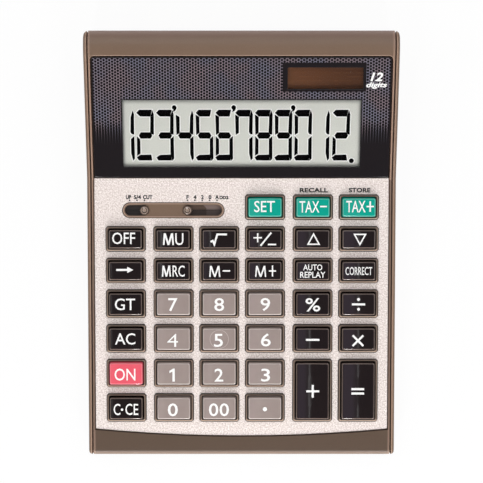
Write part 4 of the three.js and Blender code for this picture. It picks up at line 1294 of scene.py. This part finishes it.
# Display window
# A sheet of clear acrylic printed black on its back round the two openings. The print has
# a mesh of dots that thins out towards the keys.
window_low, window_high = local_box("display_window", bed)
window_half, window_depth = window_high.xy
corner_radius = 2.0
lcd_opening = (-57.2, 57.2, 5.15, 38.25)
solar_opening = (22.0, 58.0, 43.7, 54.05)
ink = Finish("black_window_print", bed)
ink_x, ink_y, ink_z = ink.axes(ink.at)
column_pitch, row_pitch, dot_reach = 1.32, 1.46, 0.59
columns = ink_x / column_pitch
stagger = ink.math("FLOORED_MODULO", ink.math("FLOOR", columns), 2.0) * 0.5
off_x = (ink.math("FRACT", columns) - 0.5) * column_pitch
off_y = (ink.math("FRACT", ink_y / row_pitch + stagger) - 0.5) * row_pitch
squeeze = 0.25 + ink.ease(ink_y, 16.5, 30.5) * 0.75
net = ink.ease(ink.distance(off_x, off_y * squeeze), dot_reach - 0.04, dot_reach + 0.04)
inside = (abs(ink_x) < window_half - 0.75) * (ink_y < window_depth - 0.75)
beside_lcd = ink.larger(abs(ink_x) - 57.8, abs(ink_y - 21.7) - 17.1)
beside_solar = ink.larger(abs(ink_x - 39.5) - 19.9, abs(ink_y - 49.4) - 7.0)
clear_of = ink.math("MINIMUM", beside_lcd, beside_solar) > 0.0
net_zone = inside * clear_of * ink.ease(ink_y, 15.5, 29.0)
tint = ink.noise(14.0)
net_colour = ink.mix(ink.ease(tint, 0.35, 0.65), (108, 106, 120), (121, 107, 113))
net_colour = ink.mix(net, (6, 4, 6), net_colour)
window_print = ink.paint({
    "Base Color": ink.mix(net_zone * (ink_z > -0.3), (24, 19, 22), net_colour),
    "Roughness": 0.08 + tint * 0.04,
})
corner_x, corner_y = window_half - corner_radius, window_depth - corner_radius
window_loop = [(-window_half, 0), (window_half, 0)]
for x, start in ((corner_x, 0), (-corner_x, pi / 2)):
    window_loop += arc(x, corner_y, corner_radius, start, pi / 2, 8)
window_holes = [opening(*lcd_opening), opening(*solar_opening)]
window_work = slab([window_loop, *window_holes], window_low.z, window_high.z)
window = soften(new_piece("window_print", window_work, window_print, bed), 0.3)
fit(window, "case", "window_acrylic", ["display_window"])

see_through = {"Alpha": 0.06}
clear = marked("clear_acrylic", (12, 12, 13), (30, 30, 30), 1.2, 4.0, 0.05, 0.04, plane=bed, more=see_through)
panes = bmesh.new()
for hole in (lcd_opening, solar_opening):
    merge(panes, slab([opening(*hole, -0.02)], -1.3, -0.03))
fit(new_piece("window_panes", panes, clear, bed, smooth=False), "case", "window_acrylic")

heavy, lean = 0.03, 0.25
window_words = [
    (word("12", 6.0, 4.2, heavy, lean), 64.3, 49.6), (word("digits", 10.0, 3.2, heavy, lean), 64.4, 45.4),
]
fit(printed(window_words, bed, lambda x, y: 0.0, "window_words", white_ink, rise=0.02, sink=0.02), "case")


# Studio
# A pale floor and a dim ceiling with a bright horizon and a long panel right of the
# middle, soft boxes behind and beside the object and two low strips before it.
def floor_material():
    finish = Finish("studio_floor")
    rays = finish.node("ShaderNodeLightPath", output="Is Camera Ray")
    finish.paint({"Base Color": linear(243, 243, 243), "Roughness": 0.9})
    white = finish.node("ShaderNodeEmission", {"Color": (1, 1, 1, 1)})
    lit = Socket(finish, finish.shader.outputs[0])
    seen = finish.node("ShaderNodeMixShader", {0: rays * 0.93, 1: lit, 2: white})
    finish.feed(finish.node_tree.nodes["Material Output"].inputs["Surface"], seen)
    return finish.material


floor_work = bmesh.new()
floor_corners = opening(-3.0, 3.0, -3.0, 3.0)
floor_work.faces.new([floor_work.verts.new((x, y, 0)) for x, y in floor_corners])
floor = new_piece("studio_floor", floor_work, floor_material())

world = bpy.data.worlds.new("studio_surround")
world.use_nodes = True
scene.world = world
air = Tree(world.node_tree)
way_x, way_y, way_z = air.axes(air.node("ShaderNodeTexCoord", output="Generated"))
right_of, back_of = way_x / way_z, way_y / way_z
overhead = air.ease(way_z, 0.5, 0.6) * air.ease(back_of, -0.42, -0.34)
panel = overhead * air.band(right_of, 0.075, 0.15, 0.28, 0.4)
panel_rim = overhead * air.band(right_of, 0.074, 0.078, 0.086, 0.09)
horizon = 1 - air.ease(way_z, 0.18, 0.5)
level = 0.18 + horizon * 0.83 + panel * 0.5 + panel_rim * 2.0
camera_ray = air.node("ShaderNodeLightPath", output="Is Camera Ray")
background = world.node_tree.nodes["Background"].inputs
air.feed(background["Strength"], level * (1 - camera_ray) + camera_ray)
panel_tint = (245.81, 231.11, 255)
air.feed(background["Color"], air.mix(panel * (1 - camera_ray), (255, 255, 255), panel_tint))


def soft_box(name, azimuth, elevation, distance, width, depth, watts):
    """A rectangular lamp that faces the middle of the object."""
    data = bpy.data.lights.new(name, "AREA")
    data.shape = "RECTANGLE"
    data.size, data.size_y, data.energy = width, depth, watts
    turn, rise = radians(azimuth), radians(elevation)
    back = Vector((sin(turn) * cos(rise), -cos(turn) * cos(rise), sin(rise)))
    lamp = in_scene(name, data)
    lamp.location = Vector((0, 0, 0.02)) + back * distance
    lamp.rotation_mode = "QUATERNION"
    lamp.rotation_quaternion = back.to_track_quat("Z", "Y")


soft_box("rear_box", 180, 68, 1.6, 0.85, 0.55, 2.6)
soft_box("left_box", -90, 48, 1.3, 0.4, 0.6, 2.0)
soft_box("right_box", 90, 48, 1.3, 0.4, 0.6, 2.0)
soft_box("rear_left_box", -145, 50, 1.0, 0.5, 0.45, 1.2)
soft_box("rear_right_box", 140, 48, 1.0, 0.5, 0.4, 1.1)
soft_box("front_left_strip", -14, 26, 0.9, 0.05, 0.4, 3.4)
soft_box("front_right_strip", 14, 26, 0.9, 0.05, 0.4, 3.4)

camera_data = bpy.data.cameras.new("camera")
camera_data.lens = 111.9
camera_data.sensor_width = 36
camera = in_scene("camera", camera_data)
camera.location = (0, 0.00215, 0.750)
scene.camera = camera
scene.view_settings.view_transform = "Standard"
